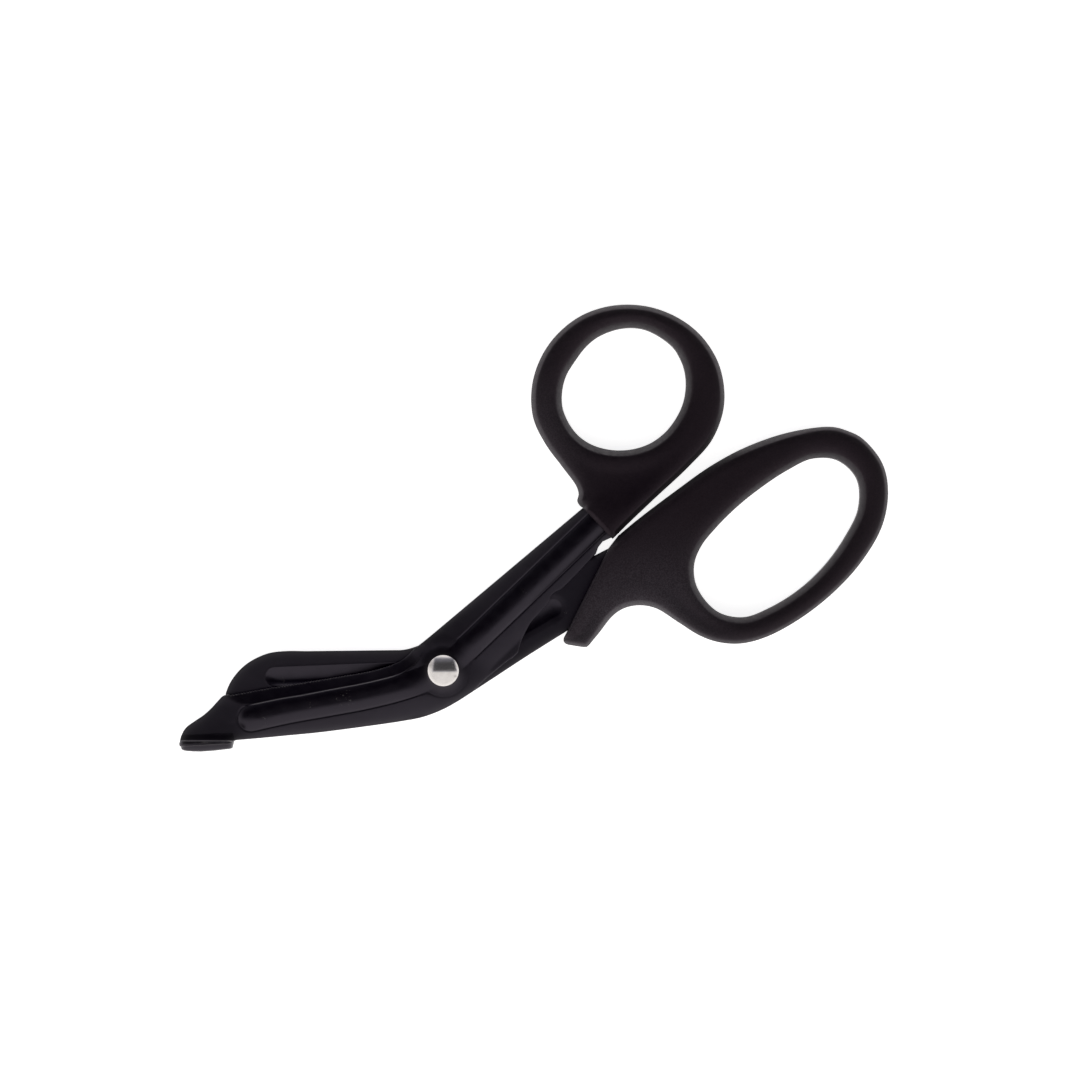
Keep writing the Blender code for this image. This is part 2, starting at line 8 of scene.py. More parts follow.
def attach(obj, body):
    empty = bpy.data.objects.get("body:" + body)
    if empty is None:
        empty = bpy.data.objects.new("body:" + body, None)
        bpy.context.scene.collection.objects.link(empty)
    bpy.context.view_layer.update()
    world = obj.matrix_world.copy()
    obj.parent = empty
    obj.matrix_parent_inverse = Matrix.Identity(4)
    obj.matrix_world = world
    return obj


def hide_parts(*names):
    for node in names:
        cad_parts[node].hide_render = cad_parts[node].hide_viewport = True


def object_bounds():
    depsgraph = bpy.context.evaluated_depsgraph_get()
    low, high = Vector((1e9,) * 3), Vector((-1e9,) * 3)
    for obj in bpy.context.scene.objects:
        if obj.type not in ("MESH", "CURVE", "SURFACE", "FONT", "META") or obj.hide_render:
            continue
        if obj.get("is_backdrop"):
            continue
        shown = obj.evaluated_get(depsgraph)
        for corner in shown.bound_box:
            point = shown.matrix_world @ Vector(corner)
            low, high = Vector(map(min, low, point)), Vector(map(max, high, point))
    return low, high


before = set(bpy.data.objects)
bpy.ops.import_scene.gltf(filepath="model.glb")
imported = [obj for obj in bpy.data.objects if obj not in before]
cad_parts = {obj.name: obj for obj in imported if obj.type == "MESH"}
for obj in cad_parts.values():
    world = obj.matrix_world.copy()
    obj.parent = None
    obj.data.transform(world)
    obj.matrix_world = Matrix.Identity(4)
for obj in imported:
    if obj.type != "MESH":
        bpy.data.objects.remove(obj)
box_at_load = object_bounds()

# ---------------------------------------------------------------- dimensions, mm about the rivet's axis
MM = 0.001
PIVOT = np.array([-26.75, -23.70])   # the rivet's axis in the frame
HANDLE_T = 10.0
FRONT0, FRONT1 = 5.15, 7.15          # faces of the front lever's sheet
REAR0, REAR1 = 2.85, 4.85            # faces of the rear lever's sheet
BORE_R = 2.5

RIB_HALF, TANG_HALF, RIB_HIGH = 3.2, 3.05, 0.98
CREST, STEP = 0.55, 0.20               # the crest off the ribs' middle, the step along the cutting side
BOSS_R = 6.35
HOLLOW_HALF, HOLLOW_DEEP = 2.3, 0.9
SHEET_ROUND = 0.16                   # rounding of the stamped edges
FRONT_LAND, REAR_LAND = 0.95, 0.35   # thickness left at the cutting edges
SERRATION, TOOTH = 0.72, 0.22

TILT = math.radians(22.0)            # the photo's roll about the line of sight
TO_RIGHT = np.array([math.cos(TILT), -math.sin(TILT)])
TO_TOP = np.array([math.sin(TILT), math.cos(TILT)])

# ---------------------------------------------------------------- outlines
NOSE = [(-68.25, 8.0), (-67.2, 9.52), (-65.35, 11.0), (-62.55, 11.75), (-60.0, 12.3), (-57.5, 13.2), (-55.3, 14.25), (-53.6, 14.95), (-52.1, 14.7)]
LOWER_EDGE = [(-52.1, 14.5), (-42.0, 12.45), (-33.6, 10.5), (-24.6, 8.5), (-16.9, 6.85), (-11.4, 6.25)]
HEEL = [(-11.4, 6.25), (-9.2, 6.3), (-6.9, 6.9), (-5.2, 7.65), (-3.6, 8.2), (-1.9, 8.7), (0.4, 9.4)]
FRONT_TANG_IN = [(47.9, 24.9), (57.0, 28.0), (60.5, 28.3), (62.3, 25.0), (60.5, 22.4), (54.0, 18.6), (52.6, 16.9)]
FLANGE = [(51.9, 15.25), (49.3, 15.15), (47.8, 14.3), (46.5, 12.9)]
FLANGE_STEP = [(46.5, 12.9), (40.0, 9.95), (36.2, 8.35), (35.1, 7.95), (33.4, 7.85), (32.0, 7.2), (31.4, 6.3), (29.2, 5.1)]
FLANGE_LOW = [(29.2, 5.1), (27.4, 4.3), (25.1, 3.2), (23.3, 1.8), (21.0, -0.3), (19.9, -1.6), (19.2, -2.6), (18.0, -3.2), (15.1, -3.95), (8.4, -6.1), (4.9, -7.6)]
BACK_OF_BLADE = [(4.9, -7.6), (0.05, -8.5), (-4.1, -8.95), (-9.25, -8.8), (-15.05, -7.65), (-24.95, -5.2), (-35.2, -2.5), (-42.6, -0.3), (-49.0, 1.6), (-54.65, 3.35)]
RIB_LINE = [(-49.6, 10.75), (-48.5, 10.45), (-40.0, 8.85), (-35.0, 7.70), (-30.0, 6.75), (-24.9, 5.72), (-20.0, 4.75), (-15.0, 3.95), (-11.8, 3.58), (-9.7, 3.58), (-8.0, 3.85), (-5.9, 4.5), (-4.6, 5.25), (-3.6, 6.0), (-3.1, 6.5)]
FRONT_RIB = [(-49.2, 7.1), (-40.0, 5.55), (-30.0, 3.45), (-20.0, 1.45), (-10.0, 0.15), (0.0, 0.0)]
TANG_TURN = math.radians(21.9)

UPPER_TOP = [(-52.9, 15.3), (-51.75, 16.55), (-50.35, 17.75), (-47.7, 19.3), (-45.15, 20.2), (-42.2, 20.65), (-38.85, 20.55), (-34.9, 19.45), (-29.85, 17.4)]
UPPER_HEEL = [(-29.85, 17.4), (-19.9, 13.5), (-9.9, 9.6), (-7.95, 8.85), (-5.95, 8.4), (-3.0, 8.25), (1.0, 8.35), (10.0, 9.1)]
REAR_TANG_IN = [(46.6, 12.7), (50.0, 13.0), (57.5, 13.6), (61.0, 11.5), (61.3, 6.0), (58.5, 2.6), (48.9, 0.7)]
REAR_BOTTOM = [(32.3, -2.4), (20.1, -4.6), (10.05, -6.6), (4.0, -7.75), (0.0, -8.2), (-3.5, -7.8), (-6.7, -6.2), (-9.0, -3.4), (-10.6, -1.2), (-12.5, 0.18)]
UPPER_EDGE = [(-12.5, 0.18), (-51.8, 10.8)]
UPPER_TIP = [(-51.8, 10.8), (-53.2, 11.8), (-53.7, 13.4), (-52.9, 15.3)]
REAR_RIB = [(-39.9, 14.5), (0.0, 0.2)]
REAR_TANG_RIB = [(0.0, 0.0), (31.5, 4.3)]

THUMB_FRONT = [(51.9, 14.85), (51.2, 16.2), (47.85, 24.9)]
THUMB_RING = [
    (47.85, 24.9), (47.4, 25.6), (47.2, 27.0), (48.2, 28.5), (48.4, 30.6), (47.05, 36.0), (45.15, 43.4), (44.75, 50.5), (47.15, 57.5),
    (51.55, 63.2), (57.55, 67.4), (65.4, 69.75), (73.6, 69.2), (81.8, 65.7), (88.1, 59.9), (91.85, 53.0), (93.0, 44.6),
    (90.45, 35.6), (84.55, 28.7), (76.7, 24.65), (65.2, 20.2), (56.6, 16.8), (53.7, 15.55),
]
THUMB_HOLE = [
    (83.8, 54.3), (79.3, 60.4), (73.9, 63.0), (67.6, 63.3), (63.5, 62.0), (60.0, 59.9), (56.6, 57.4), (54.1, 54.1), (52.6, 50.3),
    (52.5, 46.4), (53.4, 42.6), (55.4, 39.3), (58.3, 36.7), (61.8, 34.8), (65.8, 33.7), (69.9, 33.6), (74.1, 34.7), (77.8, 36.8),
    (80.9, 39.6), (83.1, 43.0), (84.4, 46.8), (84.6, 50.5),
]
FINGER_FRONT = [(50.2, 13.1), (32.1, -2.9), (31.1, -3.7)]
FINGER_HEEL = [(31.1, -3.7), (30.8, -4.5), (31.2, -5.3), (32.9, -6.45), (34.9, -7.6), (35.7, -7.9)]
FINGER_RING = [
    (36.4, -7.65), (39.9, -5.75), (44.3, -3.25), (46.9, -2.5), (49.3, -2.5), (52.3, -3.35), (55.5, -5.5), (59.55, -11.1), (63.1, -15.95),
    (66.85, -19.2), (71.9, -21.6), (78.5, -22.45), (88.05, -21.35), (98.1, -18.45), (107.6, -13.9), (115.8, -7.5), (120.4, -0.1),
    (121.75, 7.0), (119.5, 14.6), (116.8, 17.8), (113.2, 20.4), (103.05, 23.05), (92.0, 23.7), (81.95, 22.65), (70.95, 20.05), (60.0, 17.1), (53.5, 15.05),
]
FINGER_HOLE = [
    (67.0, -4.5), (68.3, 0.9), (71.7, 4.7), (77.2, 7.8), (84.2, 10.7), (92.1, 13.0), (99.0, 14.35), (105.95, 14.7),
    (111.8, 11.9), (114.5, 5.8), (112.1, -1.2), (106.3, -6.6), (98.9, -11.3), (90.95, -14.45), (82.0, -16.05), (74.95, -15.75), (69.4, -11.85),
]


# ---------------------------------------------------------------- lines
def smooth(points, step):
    """Evenly spaced points along a smooth curve through the given ones, both ends included."""
    p = [np.array(q, float) for q in points]
    p = [2 * p[0] - p[1]] + p + [2 * p[-1] - p[-2]]
    out = []
    for i in range(1, len(p) - 2):
        a, b, c, d = p[i - 1 : i + 3]
        ta, tb, tc = [math.sqrt(np.linalg.norm(v)) for v in (b - a, c - b, d - c)]
        m1 = ((b - a) / ta - (c - a) / (ta + tb) + (c - b) / tb) * tb
        m2 = ((c - b) / tb - (d - b) / (tb + tc) + (d - c) / tc) * tb
        for k in range(24):
            t = k / 24
            out.append((2 * t**3 - 3 * t**2 + 1) * b + (t**3 - 2 * t**2 + t) * m1 + (-2 * t**3 + 3 * t**2) * c + (t**3 - t**2) * m2)
    out.append(p[-2])
    return evenly(out, step)


def evenly(points, step):
    """The same line with its points a step apart."""
    p = np.array(points, float)
    run = np.r_[0, np.cumsum(np.linalg.norm(np.diff(p, axis=0), axis=1))]
    n = max(1, int(round(run[-1] / step)))
    at = np.linspace(0, run[-1], n + 1)
    return np.c_[np.interp(at, run, p[:, 0]), np.interp(at, run, p[:, 1])]


def straight(points, step):
    """A line with corners: each leg divided, the corners kept."""
    legs = [evenly(points[i : i + 2], step)[:-1] for i in range(len(points) - 1)]
    return np.vstack(legs + [np.array([points[-1]], float)])


def closed_smooth(points, step):
    n = len(points)
    ring = [points[-3], points[-2], points[-1]] + list(points) + [points[0], points[1], points[2]]
    fine = smooth(ring, 0.02)
    a = int(np.argmin(np.linalg.norm(fine - np.array(points[0]), axis=1)))
    far = fine.copy()
    far[: a + int(len(fine) * 0.3)] = 1e6
    b = int(np.argmin(np.linalg.norm(far - np.array(points[0]), axis=1)))
    assert n > 3
    return evenly(fine[a : b + 1], step)[:-1]


def toothed(points, pitch, depth, side):
    """A saw-tooth line with softened tips."""
    line = smooth(points, 0.02)
    run = np.r_[0, np.cumsum(np.linalg.norm(np.diff(line, axis=0), axis=1))]
    count = int(round(run[-1] / pitch))
    phase = np.linspace(0, count, count * 6 + 1)
    at = phase / count * run[-1]
    q = np.c_[np.interp(at, run, line[:, 0]), np.interp(at, run, line[:, 1])]
    d = np.gradient(q, axis=0)
    d /= np.linalg.norm(d, axis=1)[:, None]
    wave = np.abs((phase + 0.5) % 1 - 0.5) * 2
    wave = np.clip(wave, 0.1, 0.92)
    return q + np.c_[-d[:, 1], d[:, 0]] * (side * depth * (wave - 0.1) / 0.82)[:, None]


def joined(*pieces):
    """One closed outline, drawn anticlockwise, from pieces that follow each other."""
    out = []
    for piece in pieces:
        for q in np.atleast_2d(np.array(piece, float)):
            if not out or np.linalg.norm(q - out[-1]) > 0.03:
                out.append(q)
    if np.linalg.norm(out[0] - out[-1]) <= 0.03:
        out.pop()
    out = np.array(out)
    x, y = out[:, 0], out[:, 1]
    if np.sum(x * np.roll(y, -1) - y * np.roll(x, -1)) < 0:
        out = out[::-1]
    return out


def circle(r, count):
    a = np.linspace(0, 2 * math.pi, count, endpoint=False)
    return np.c_[r * np.cos(a), r * np.sin(a)]


def off(P, line, closed=False):
    """Distance of every point to a line."""
    line = np.array(line, float)
    if closed:
        line = np.vstack([line, line[:1]])
    best = np.full(len(P), 1e9)
    for a, b in zip(line, line[1:]):
        e = b - a
        w = P - a
        t = np.clip((w @ e) / max(e @ e, 1e-12), 0, 1)
        dx, dy = w[:, 0] - t * e[0], w[:, 1] - t * e[1]
        best = np.minimum(best, dx * dx + dy * dy)
    return np.sqrt(best)


def within(P, loop):
    """Which points lie inside a closed outline."""
    x, y = P[:, 0], P[:, 1]
    res = np.zeros(len(P), bool)
    nxt = np.roll(loop, -1, axis=0)
    for (ax, ay), (bx, by) in zip(loop, nxt):
        if ay != by:
            hit = (ay > y) != (by > y)
            res ^= hit & (x < (bx - ax) * (y - ay) / (by - ay) + ax)
    return res


def ease(t):
    t = np.clip(t, 0, 1)
    return t * t * (3 - 2 * t)


# ---------------------------------------------------------------- plan meshes
def inward_rings(loop, distances, sign):
    """Rows of points beside an outline, on its left for sign +1."""
    e = np.roll(loop, -1, axis=0) - np.roll(loop, 1, axis=0)
    e /= np.maximum(np.linalg.norm(e, axis=1), 1e-9)[:, None]
    n = np.c_[-e[:, 1], e[:, 0]] * sign
    return [loop + n * d for d in distances]


def thin_out(kept, rows, gap):
    """Adds points that keep a gap from all the points before them."""
    cells = {}
    for i, q in enumerate(kept):
        cells.setdefault((int(q[0] // gap), int(q[1] // gap)), []).append(i)
    for q in rows:
        cx, cy = int(q[0] // gap), int(q[1] // gap)
        near = False
        for i in (cx - 1, cx, cx + 1):
            for j in (cy - 1, cy, cy + 1):
                for k in cells.get((i, j), ()):
                    p = kept[k]
                    if (p[0] - q[0]) ** 2 + (p[1] - q[1]) ** 2 < gap * gap:
                        near = True
                        break
                if near:
                    break
            if near:
                break
        if not near:
            cells.setdefault((cx, cy), []).append(len(kept))
            kept.append((float(q[0]), float(q[1])))
    return kept


def plan(loops, rings, grid, features=(), feature_gap=0.09):
    """A triangulated plan: outlines, rows of points inside them, feature points and a honeycomb. Returns points, triangles and distances to the outline."""
    outer, holes = loops[0], loops[1:]

    def keep(P, least):
        ok = within(P, outer)
        for h in holes:
            ok &= ~within(P, h)
        P = P[ok]
        d = np.full(len(P), 1e9)
        for l in loops:
            d = np.minimum(d, off(P, l, True))
        return P[d > least]

    points = [tuple(q) for l in loops for q in l]
    edges, start = [], 0
    for l in loops:
        n = len(l)
        edges += [(start + i, start + (i + 1) % n) for i in range(n)]
        start += n
    for i, l in enumerate(loops):
        for d, row in zip(rings, inward_rings(l, rings, 1 if i == 0 else 1)):
            row = keep(row, d * 0.93)
            points = thin_out(points, row, min(0.12, d * 0.6))
    if len(features):
        F = keep(np.vstack(features), rings[0] if rings else 0.05)
        points = thin_out(points, F, feature_gap)
    lo, hi = outer.min(0), outer.max(0)
    xs = np.arange(lo[0], hi[0], grid)
    ys = np.arange(lo[1], hi[1], grid * 0.866)
    G = np.array([(x + (grid / 2 if j % 2 else 0), y) for j, y in enumerate(ys) for x in xs])
    G = keep(G, (rings[-1] if rings else 0) * 0.5)
    points = thin_out(points, G, grid * 0.62)
    out = geometry.delaunay_2d_cdt([Vector(p) for p in points], edges, [], 0, 1e-6)
    P = np.array([tuple(v) for v in out[0]])
    T = np.array([f for f in out[2] if len(f) == 3])
    C = P[T].mean(axis=1)
    ok = within(C, outer)
    for h in holes:
        ok &= ~within(C, h)
    T = T[ok]
    a, b, c = P[T[:, 0]], P[T[:, 1]], P[T[:, 2]]
    area = (b[:, 0] - a[:, 0]) * (c[:, 1] - a[:, 1]) - (b[:, 1] - a[:, 1]) * (c[:, 0] - a[:, 0])
    T = T[np.abs(area) > 1e-9]
    area = area[np.abs(area) > 1e-9]
    T[area < 0] = T[area < 0][:, ::-1]
    used = np.unique(T)
    remap = -np.ones(len(P), int)
    remap[used] = np.arange(len(used))
    P, T = P[used], remap[T]
    D = np.full(len(P), 1e9)
    for l in loops:
        D = np.minimum(D, off(P, l, True))
    D[D < 1e-4] = 0.0
    return P, T, D


def rim(T):
    """The directed edges that only one triangle uses."""
    e = np.vstack([T[:, [0, 1]], T[:, [1, 2]], T[:, [2, 0]]])
    key = {tuple(q) for q in e}
    return np.array([q for q in e if (q[1], q[0]) not in key])


def solid(P, T, top, bottom, side_rows=()):
    """Top and bottom sheets joined by walls. side_rows are (share of the height from the top, how far inwards)."""
    n = len(P)
    verts = [np.c_[P, top], np.c_[P, bottom]]
    faces = [T, T[:, ::-1] + n]
    E = rim(T)
    ids = np.unique(E)
    where = -np.ones(n, int)
    where[ids] = np.arange(len(ids))
    normal = np.zeros((n, 2))
    d = P[E[:, 1]] - P[E[:, 0]]
    d /= np.maximum(np.linalg.norm(d, axis=1), 1e-9)[:, None]
    for k in (0, 1):
        np.add.at(normal, E[:, k], np.c_[d[:, 1], -d[:, 0]])
    normal /= np.maximum(np.linalg.norm(normal, axis=1), 1e-9)[:, None]
    rows = [np.arange(n)]
    base = 2 * n
    for share, inset in side_rows:
        z = top[ids] + (bottom[ids] - top[ids]) * share
        verts.append(np.c_[P[ids] - normal[ids] * inset, z])
        rows.append(base + where)
        base += len(ids)
    rows.append(np.arange(n) + n)
    for a, b in zip(rows, rows[1:]):
        i, j = E[:, 0], E[:, 1]
        faces.append(np.c_[a[i], b[i], b[j]])
        faces.append(np.c_[a[i], b[j], a[j]])
    return np.vstack(verts), np.vstack(faces)


def place(name, verts, faces, material, body, node, masks=None, crease=None):
    """A finished mesh in the frame, riding its body and standing for its CAD node."""
    V = np.array(verts, float).copy()
    V[:, 0] += PIVOT[0]
    V[:, 1] += PIVOT[1]
    mesh = bpy.data.meshes.new(name)
    mesh.from_pydata((V * MM).tolist(), [], [tuple(int(i) for i in f) for f in faces])
    mesh.validate()
    mesh.update()
    for key, values in (masks or {}).items():
        a = mesh.attributes.new(key, "FLOAT", "POINT")
        a.data.foreach_set("value", np.asarray(values, np.float32))
    mesh.materials.append(material)
    mesh.shade_smooth()
    if crease:
        mesh.set_sharp_from_angle(angle=math.radians(crease))
    obj = bpy.data.objects.new(name, mesh)
    bpy.context.scene.collection.objects.link(obj)
    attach(obj, body)
    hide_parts(node)
    return obj


# ---------------------------------------------------------------- finishes
class Net:
    """A short way to write a node tree."""

    def __init__(self, tree):
        self.tree = tree
        tree.nodes.clear()

    def add(self, kind, links=None, **settings):
        node = self.tree.nodes.new(kind)
        for key, value in settings.items():
            setattr(node, key, value)
        for socket, value in (links or {}).items():
            target = node.inputs[socket]
            if isinstance(value, bpy.types.NodeSocket):
                self.tree.links.new(value, target)
            else:
                target.default_value = value
        return node

    def math(self, op, a, b=0.0, clamp=False):
        return self.add("ShaderNodeMath", {0: a, 1: b}, operation=op, use_clamp=clamp).outputs[0]

    def span(self, value, a, b, lo=0.0, hi=1.0, soft=True):
        kind = "SMOOTHSTEP" if soft else "LINEAR"
        return self.add(
            "ShaderNodeMapRange",
            {"Value": value, "From Min": a, "From Max": b, "To Min": lo, "To Max": hi},
            interpolation_type=kind,
            clamp=True,
        ).outputs["Result"]

    def noise(self, vector, scale, detail=3.0, rough=0.55, distortion=0.0):
        return self.add(
            "ShaderNodeTexNoise",
            {"Vector": vector, "Scale": scale, "Detail": detail, "Roughness": rough, "Distortion": distortion},
        ).outputs["Fac"]

    def tint(self, factor, a, b):
        mix = self.add("ShaderNodeMix", {}, data_type="RGBA")
        self.tree.links.new(factor, mix.inputs["Factor"])
        for socket, colour in ((mix.inputs[6], a), (mix.inputs[7], b)):
            if isinstance(colour, bpy.types.NodeSocket):
                self.tree.links.new(colour, socket)
            else:
                socket.default_value = (*colour, 1.0)
        return mix.outputs[2]


def new_material(name):
    mat = bpy.data.materials.new(name)
    mat.use_nodes = True
    net = Net(mat.node_tree)
    out = net.add("ShaderNodeOutputMaterial")
    shader = net.add("ShaderNodeBsdfPrincipled")
    net.tree.links.new(shader.outputs[0], out.inputs[0])
    here = net.add("ShaderNodeTexCoord").outputs["Object"]
    return mat, net, shader, here


def wire(net, shader, **sockets):
    for key, value in sockets.items():
        target = shader.inputs[key.replace("_", " ")]
        if isinstance(value, bpy.types.NodeSocket):
            net.tree.links.new(value, target)
        else:
            target.default_value = value


def coated_steel():
    """Satin black coating over steel: an even low sheen, a fine peel, paler where the bare metal shows, and painted
    highlights laid as bare metal along the front rib's step and on the foot.
    """
    mat, net, shader, here = new_material("coated_steel")
    cloud = net.noise(here, 90.0, 4.0)
    fine = net.noise(here, 2600.0, 3.0)
    smear = net.noise(here, 420.0, 5.0, 0.62)
    # paler bare metal: the worn teeth and, on the foot, partly painted highlight lines
    bare = net.add("ShaderNodeAttribute", attribute_name="bare").outputs["Fac"]
    scuff = net.add("ShaderNodeAttribute", attribute_name="scuff").outputs["Fac"]
    speck = net.span(net.noise(here, 1900.0, 2.0, 0.5, 0.6), 0.60, 0.70)
    worn = net.math("MULTIPLY", scuff, speck, True)
    broken = net.span(net.noise(here, 1500.0, 2.0), 0.36, 0.58)
    shine = net.math("MULTIPLY", bare, broken, True)
    # paler bare metal from a second mask: the rear's ground edge, and painted highlights along the front rib's step and
    # on the foot
    edge_wear_and_highlight = net.add("ShaderNodeAttribute", attribute_name="edge_wear_and_highlight").outputs["Fac"]
    show = net.math("MAXIMUM", net.math("MAXIMUM", shine, edge_wear_and_highlight), net.math("MULTIPLY", worn, 0.35), True)
    coat = net.tint(net.span(cloud, 0.3, 0.7), (0.0012, 0.0010, 0.0013), (0.0022, 0.0019, 0.0024))
    colour = net.tint(show, coat, (0.50, 0.49, 0.48))
    rough = net.math("ADD", net.span(smear, 0.3, 0.7, 0.31, 0.38), net.math("MULTIPLY", show, -0.04))
    bump = net.add("ShaderNodeBump", {"Strength": 0.10, "Distance": 0.00002, "Height": fine})
    wire(net, shader, Base_Color=colour, Metallic=show, Roughness=rough, Normal=bump.outputs[0])
    wire(net, shader, Specular_IOR_Level=0.46, Specular_Tint=(0.86, 0.80, 1.0, 1.0))
    return mat


def bright_steel():
    """Polished steel with a faint grain and a few hairlines."""
    mat, net, shader, here = new_material("bright_steel")
    stretched = net.add("ShaderNodeMapping", {"Vector": here, "Rotation": (0, 0, -TILT), "Scale": (1.0, 7.0, 1.0)}).outputs[0]
    grain = net.noise(stretched, 2300.0, 4.0, 0.6)
    cloud = net.noise(here, 700.0, 3.0)
    pit = net.span(net.noise(here, 1300.0, 1.0), 0.74, 0.80)
    colour = net.tint(net.span(cloud, 0.3, 0.7), (0.60, 0.59, 0.58), (0.65, 0.64, 0.635))
    colour = net.tint(net.math("MULTIPLY", pit, 0.5), colour, (0.25, 0.24, 0.24))
    stain = net.add("ShaderNodeAttribute", attribute_name="stain").outputs["Fac"]
    colour = net.tint(stain, colour, (0.22, 0.21, 0.21))
    rough = net.span(grain, 0.3, 0.7, 0.14, 0.22)
    bump = net.add("ShaderNodeBump", {"Strength": 0.12, "Distance": 0.00001, "Height": grain})
    wire(net, shader, Base_Color=colour, Metallic=0.90, Roughness=rough, Normal=bump.outputs[0])
    return mat


def black_plastic():
    """Moulded black plastic with an eroded fine grain, and painted light and painted shade from two masks."""
    mat, net, shader, here = new_material("black_plastic")
    grain = net.noise(here, 2400.0, 4.0, 0.6)
    coarse = net.noise(here, 900.0, 3.0)
    cloud = net.noise(here, 60.0, 3.0)
    colour = net.tint(net.span(grain, 0.35, 0.68), (0.0014, 0.0010, 0.0012), (0.0052, 0.0040, 0.0044))
    # painted shade: a near-black patch where the handle's body lies in shade
    deepened_shade = net.add("ShaderNodeAttribute", attribute_name="deepened_shade").outputs["Fac"]
    colour = net.tint(deepened_shade, colour, (0.0005, 0.0005, 0.0007))
    # painted light: a paler grey where light falls on the handles, broken up by a fine noise
    painted_light = net.add("ShaderNodeAttribute", attribute_name="painted_light").outputs["Fac"]
    painted_light_breakup = net.span(net.noise(here, 3200.0, 2.0, 0.6), 0.40, 0.62, 0.35, 1.0)
    colour = net.tint(net.math("MULTIPLY", painted_light, painted_light_breakup), colour, (0.037, 0.036, 0.041))
    rough = net.math("ADD", net.span(coarse, 0.3, 0.7, 0.44, 0.54), net.span(cloud, 0.3, 0.7, -0.03, 0.03))
    both = net.math("ADD", grain, net.math("MULTIPLY", coarse, 0.8))
    bump = net.add("ShaderNodeBump", {"Strength": 0.7, "Distance": 0.00004, "Height": both})
    wire(net, shader, Base_Color=colour, Roughness=rough, Normal=bump.outputs[0])
    wire(net, shader, Specular_IOR_Level=0.28, Specular_Tint=(1.0, 0.80, 0.98, 1.0))
    return mat


STEEL, BRIGHT, PLASTIC = coated_steel(), bright_steel(), black_plastic()


# ---------------------------------------------------------------- cross-sections
def arch(r, half, high):
    radius = (half * half + high * high) / (2 * high)
    return np.where(r < half, np.sqrt(np.maximum(radius * radius - r * r, 0)) - (radius - high), 0.0)


def side_of(P, line):
    """+1 on the left of a line, -1 on its right."""
    line = np.array(line, float)
    best, side = np.full(len(P), 1e9), np.ones(len(P))
    for a, b in zip(line, line[1:]):
        e, w = b - a, P - a
        t = np.clip((w @ e) / max(e @ e, 1e-12), 0, 1)
        d = np.hypot(w[:, 0] - t * e[0], w[:, 1] - t * e[1])
        nearer = d < best - 1e-9
        best = np.where(nearer, d, best)
        side = np.where(nearer, np.where(e[0] * w[:, 1] - e[1] * w[:, 0] >= 0, 1.0, -1.0), side)
    return side


def lopsided(r, side, half, shift):
    """Distances stretched so that the middle of a cross-section lies a shift away on the side's right."""
    at = r * side + shift
    return np.abs(np.where(at > 0, at / (half + shift), at / (half - shift))) * half


def bump_line(r, at, width):
    return np.exp(-(((r - at) / width) ** 2))


def soft_max(a, b, k=0.12):
    h = np.clip(0.5 + 0.5 * (a - b) / k, 0, 1)
    return b + (a - b) * h + k * h * (1 - h)


def beside(line, distances, start_cap=False, end_cap=False, step=0.4):
    """Feature points along both sides of a line, and round its ends."""
    line = evenly(line, step)
    e = np.gradient(line, axis=0)
    e /= np.linalg.norm(e, axis=1)[:, None]
    n = np.c_[-e[:, 1], e[:, 0]]
    out = []
    for d in distances:
        out += [line + n * d, line - n * d]
        for flag, at, way in ((start_cap, line[0], -e[0]), (end_cap, line[-1], e[-1])):
            if flag:
                a0 = math.atan2(way[1], way[0])
                a = a0 + np.linspace(-math.pi / 2, math.pi / 2, max(6, int(d * 8)))
                out.append(at + d * np.c_[np.cos(a), np.sin(a)])
    return out


def rounded_edge(d, r):
    """How far a rounded edge lies below the face, at a distance d in from the outline."""
    return np.where(d < r, r - np.sqrt(np.maximum(r * r - (r - d) ** 2, 0)), 0.0)


# ---------------------------------------------------------------- the front lever
blade_rib = smooth(FRONT_RIB, 0.5)
tang_rib = np.array([(0.0, 0.0), (58.0 * math.cos(TANG_TURN), 58.0 * math.sin(TANG_TURN))])
front_outline = joined(
    smooth(NOSE, 0.4), toothed(LOWER_EDGE, SERRATION, TOOTH, -1), smooth(HEEL, 0.4), straight(FRONT_TANG_IN, 1.2),
    straight(FLANGE, 0.4), smooth(FLANGE_STEP, 0.35), smooth(FLANGE_LOW, 0.35), smooth(BACK_OF_BLADE, 0.45),
    [(-55.6, 3.45)], straight([(-55.6, 3.45), (-68.25, 8.0)], 0.5)[1:-1],
)
foot_distances = (-0.5, -0.3, -0.12, 0.0, 0.09, 0.18, 0.27, 0.38, 0.52, 0.7)
rib_line = smooth(RIB_LINE, 0.3)
line_rows = []
for d in (-0.45, -0.33, -0.24, -0.16, -0.08, 0.0, 0.07, 0.14, 0.24, 0.4):
    line_rows += inward_rings(rib_line, [d], 1)
features = line_rows + beside(blade_rib, [RIB_HALF + d for d in foot_distances], start_cap=True)
features += beside(tang_rib, [TANG_HALF + d for d in foot_distances])
features += [circle(BOSS_R + d, 110) for d in foot_distances]
P, T, D = plan([front_outline, circle(BORE_R, 48)[::-1]], [0.03, 0.09, 0.18, 0.34], 0.42, features, 0.075)

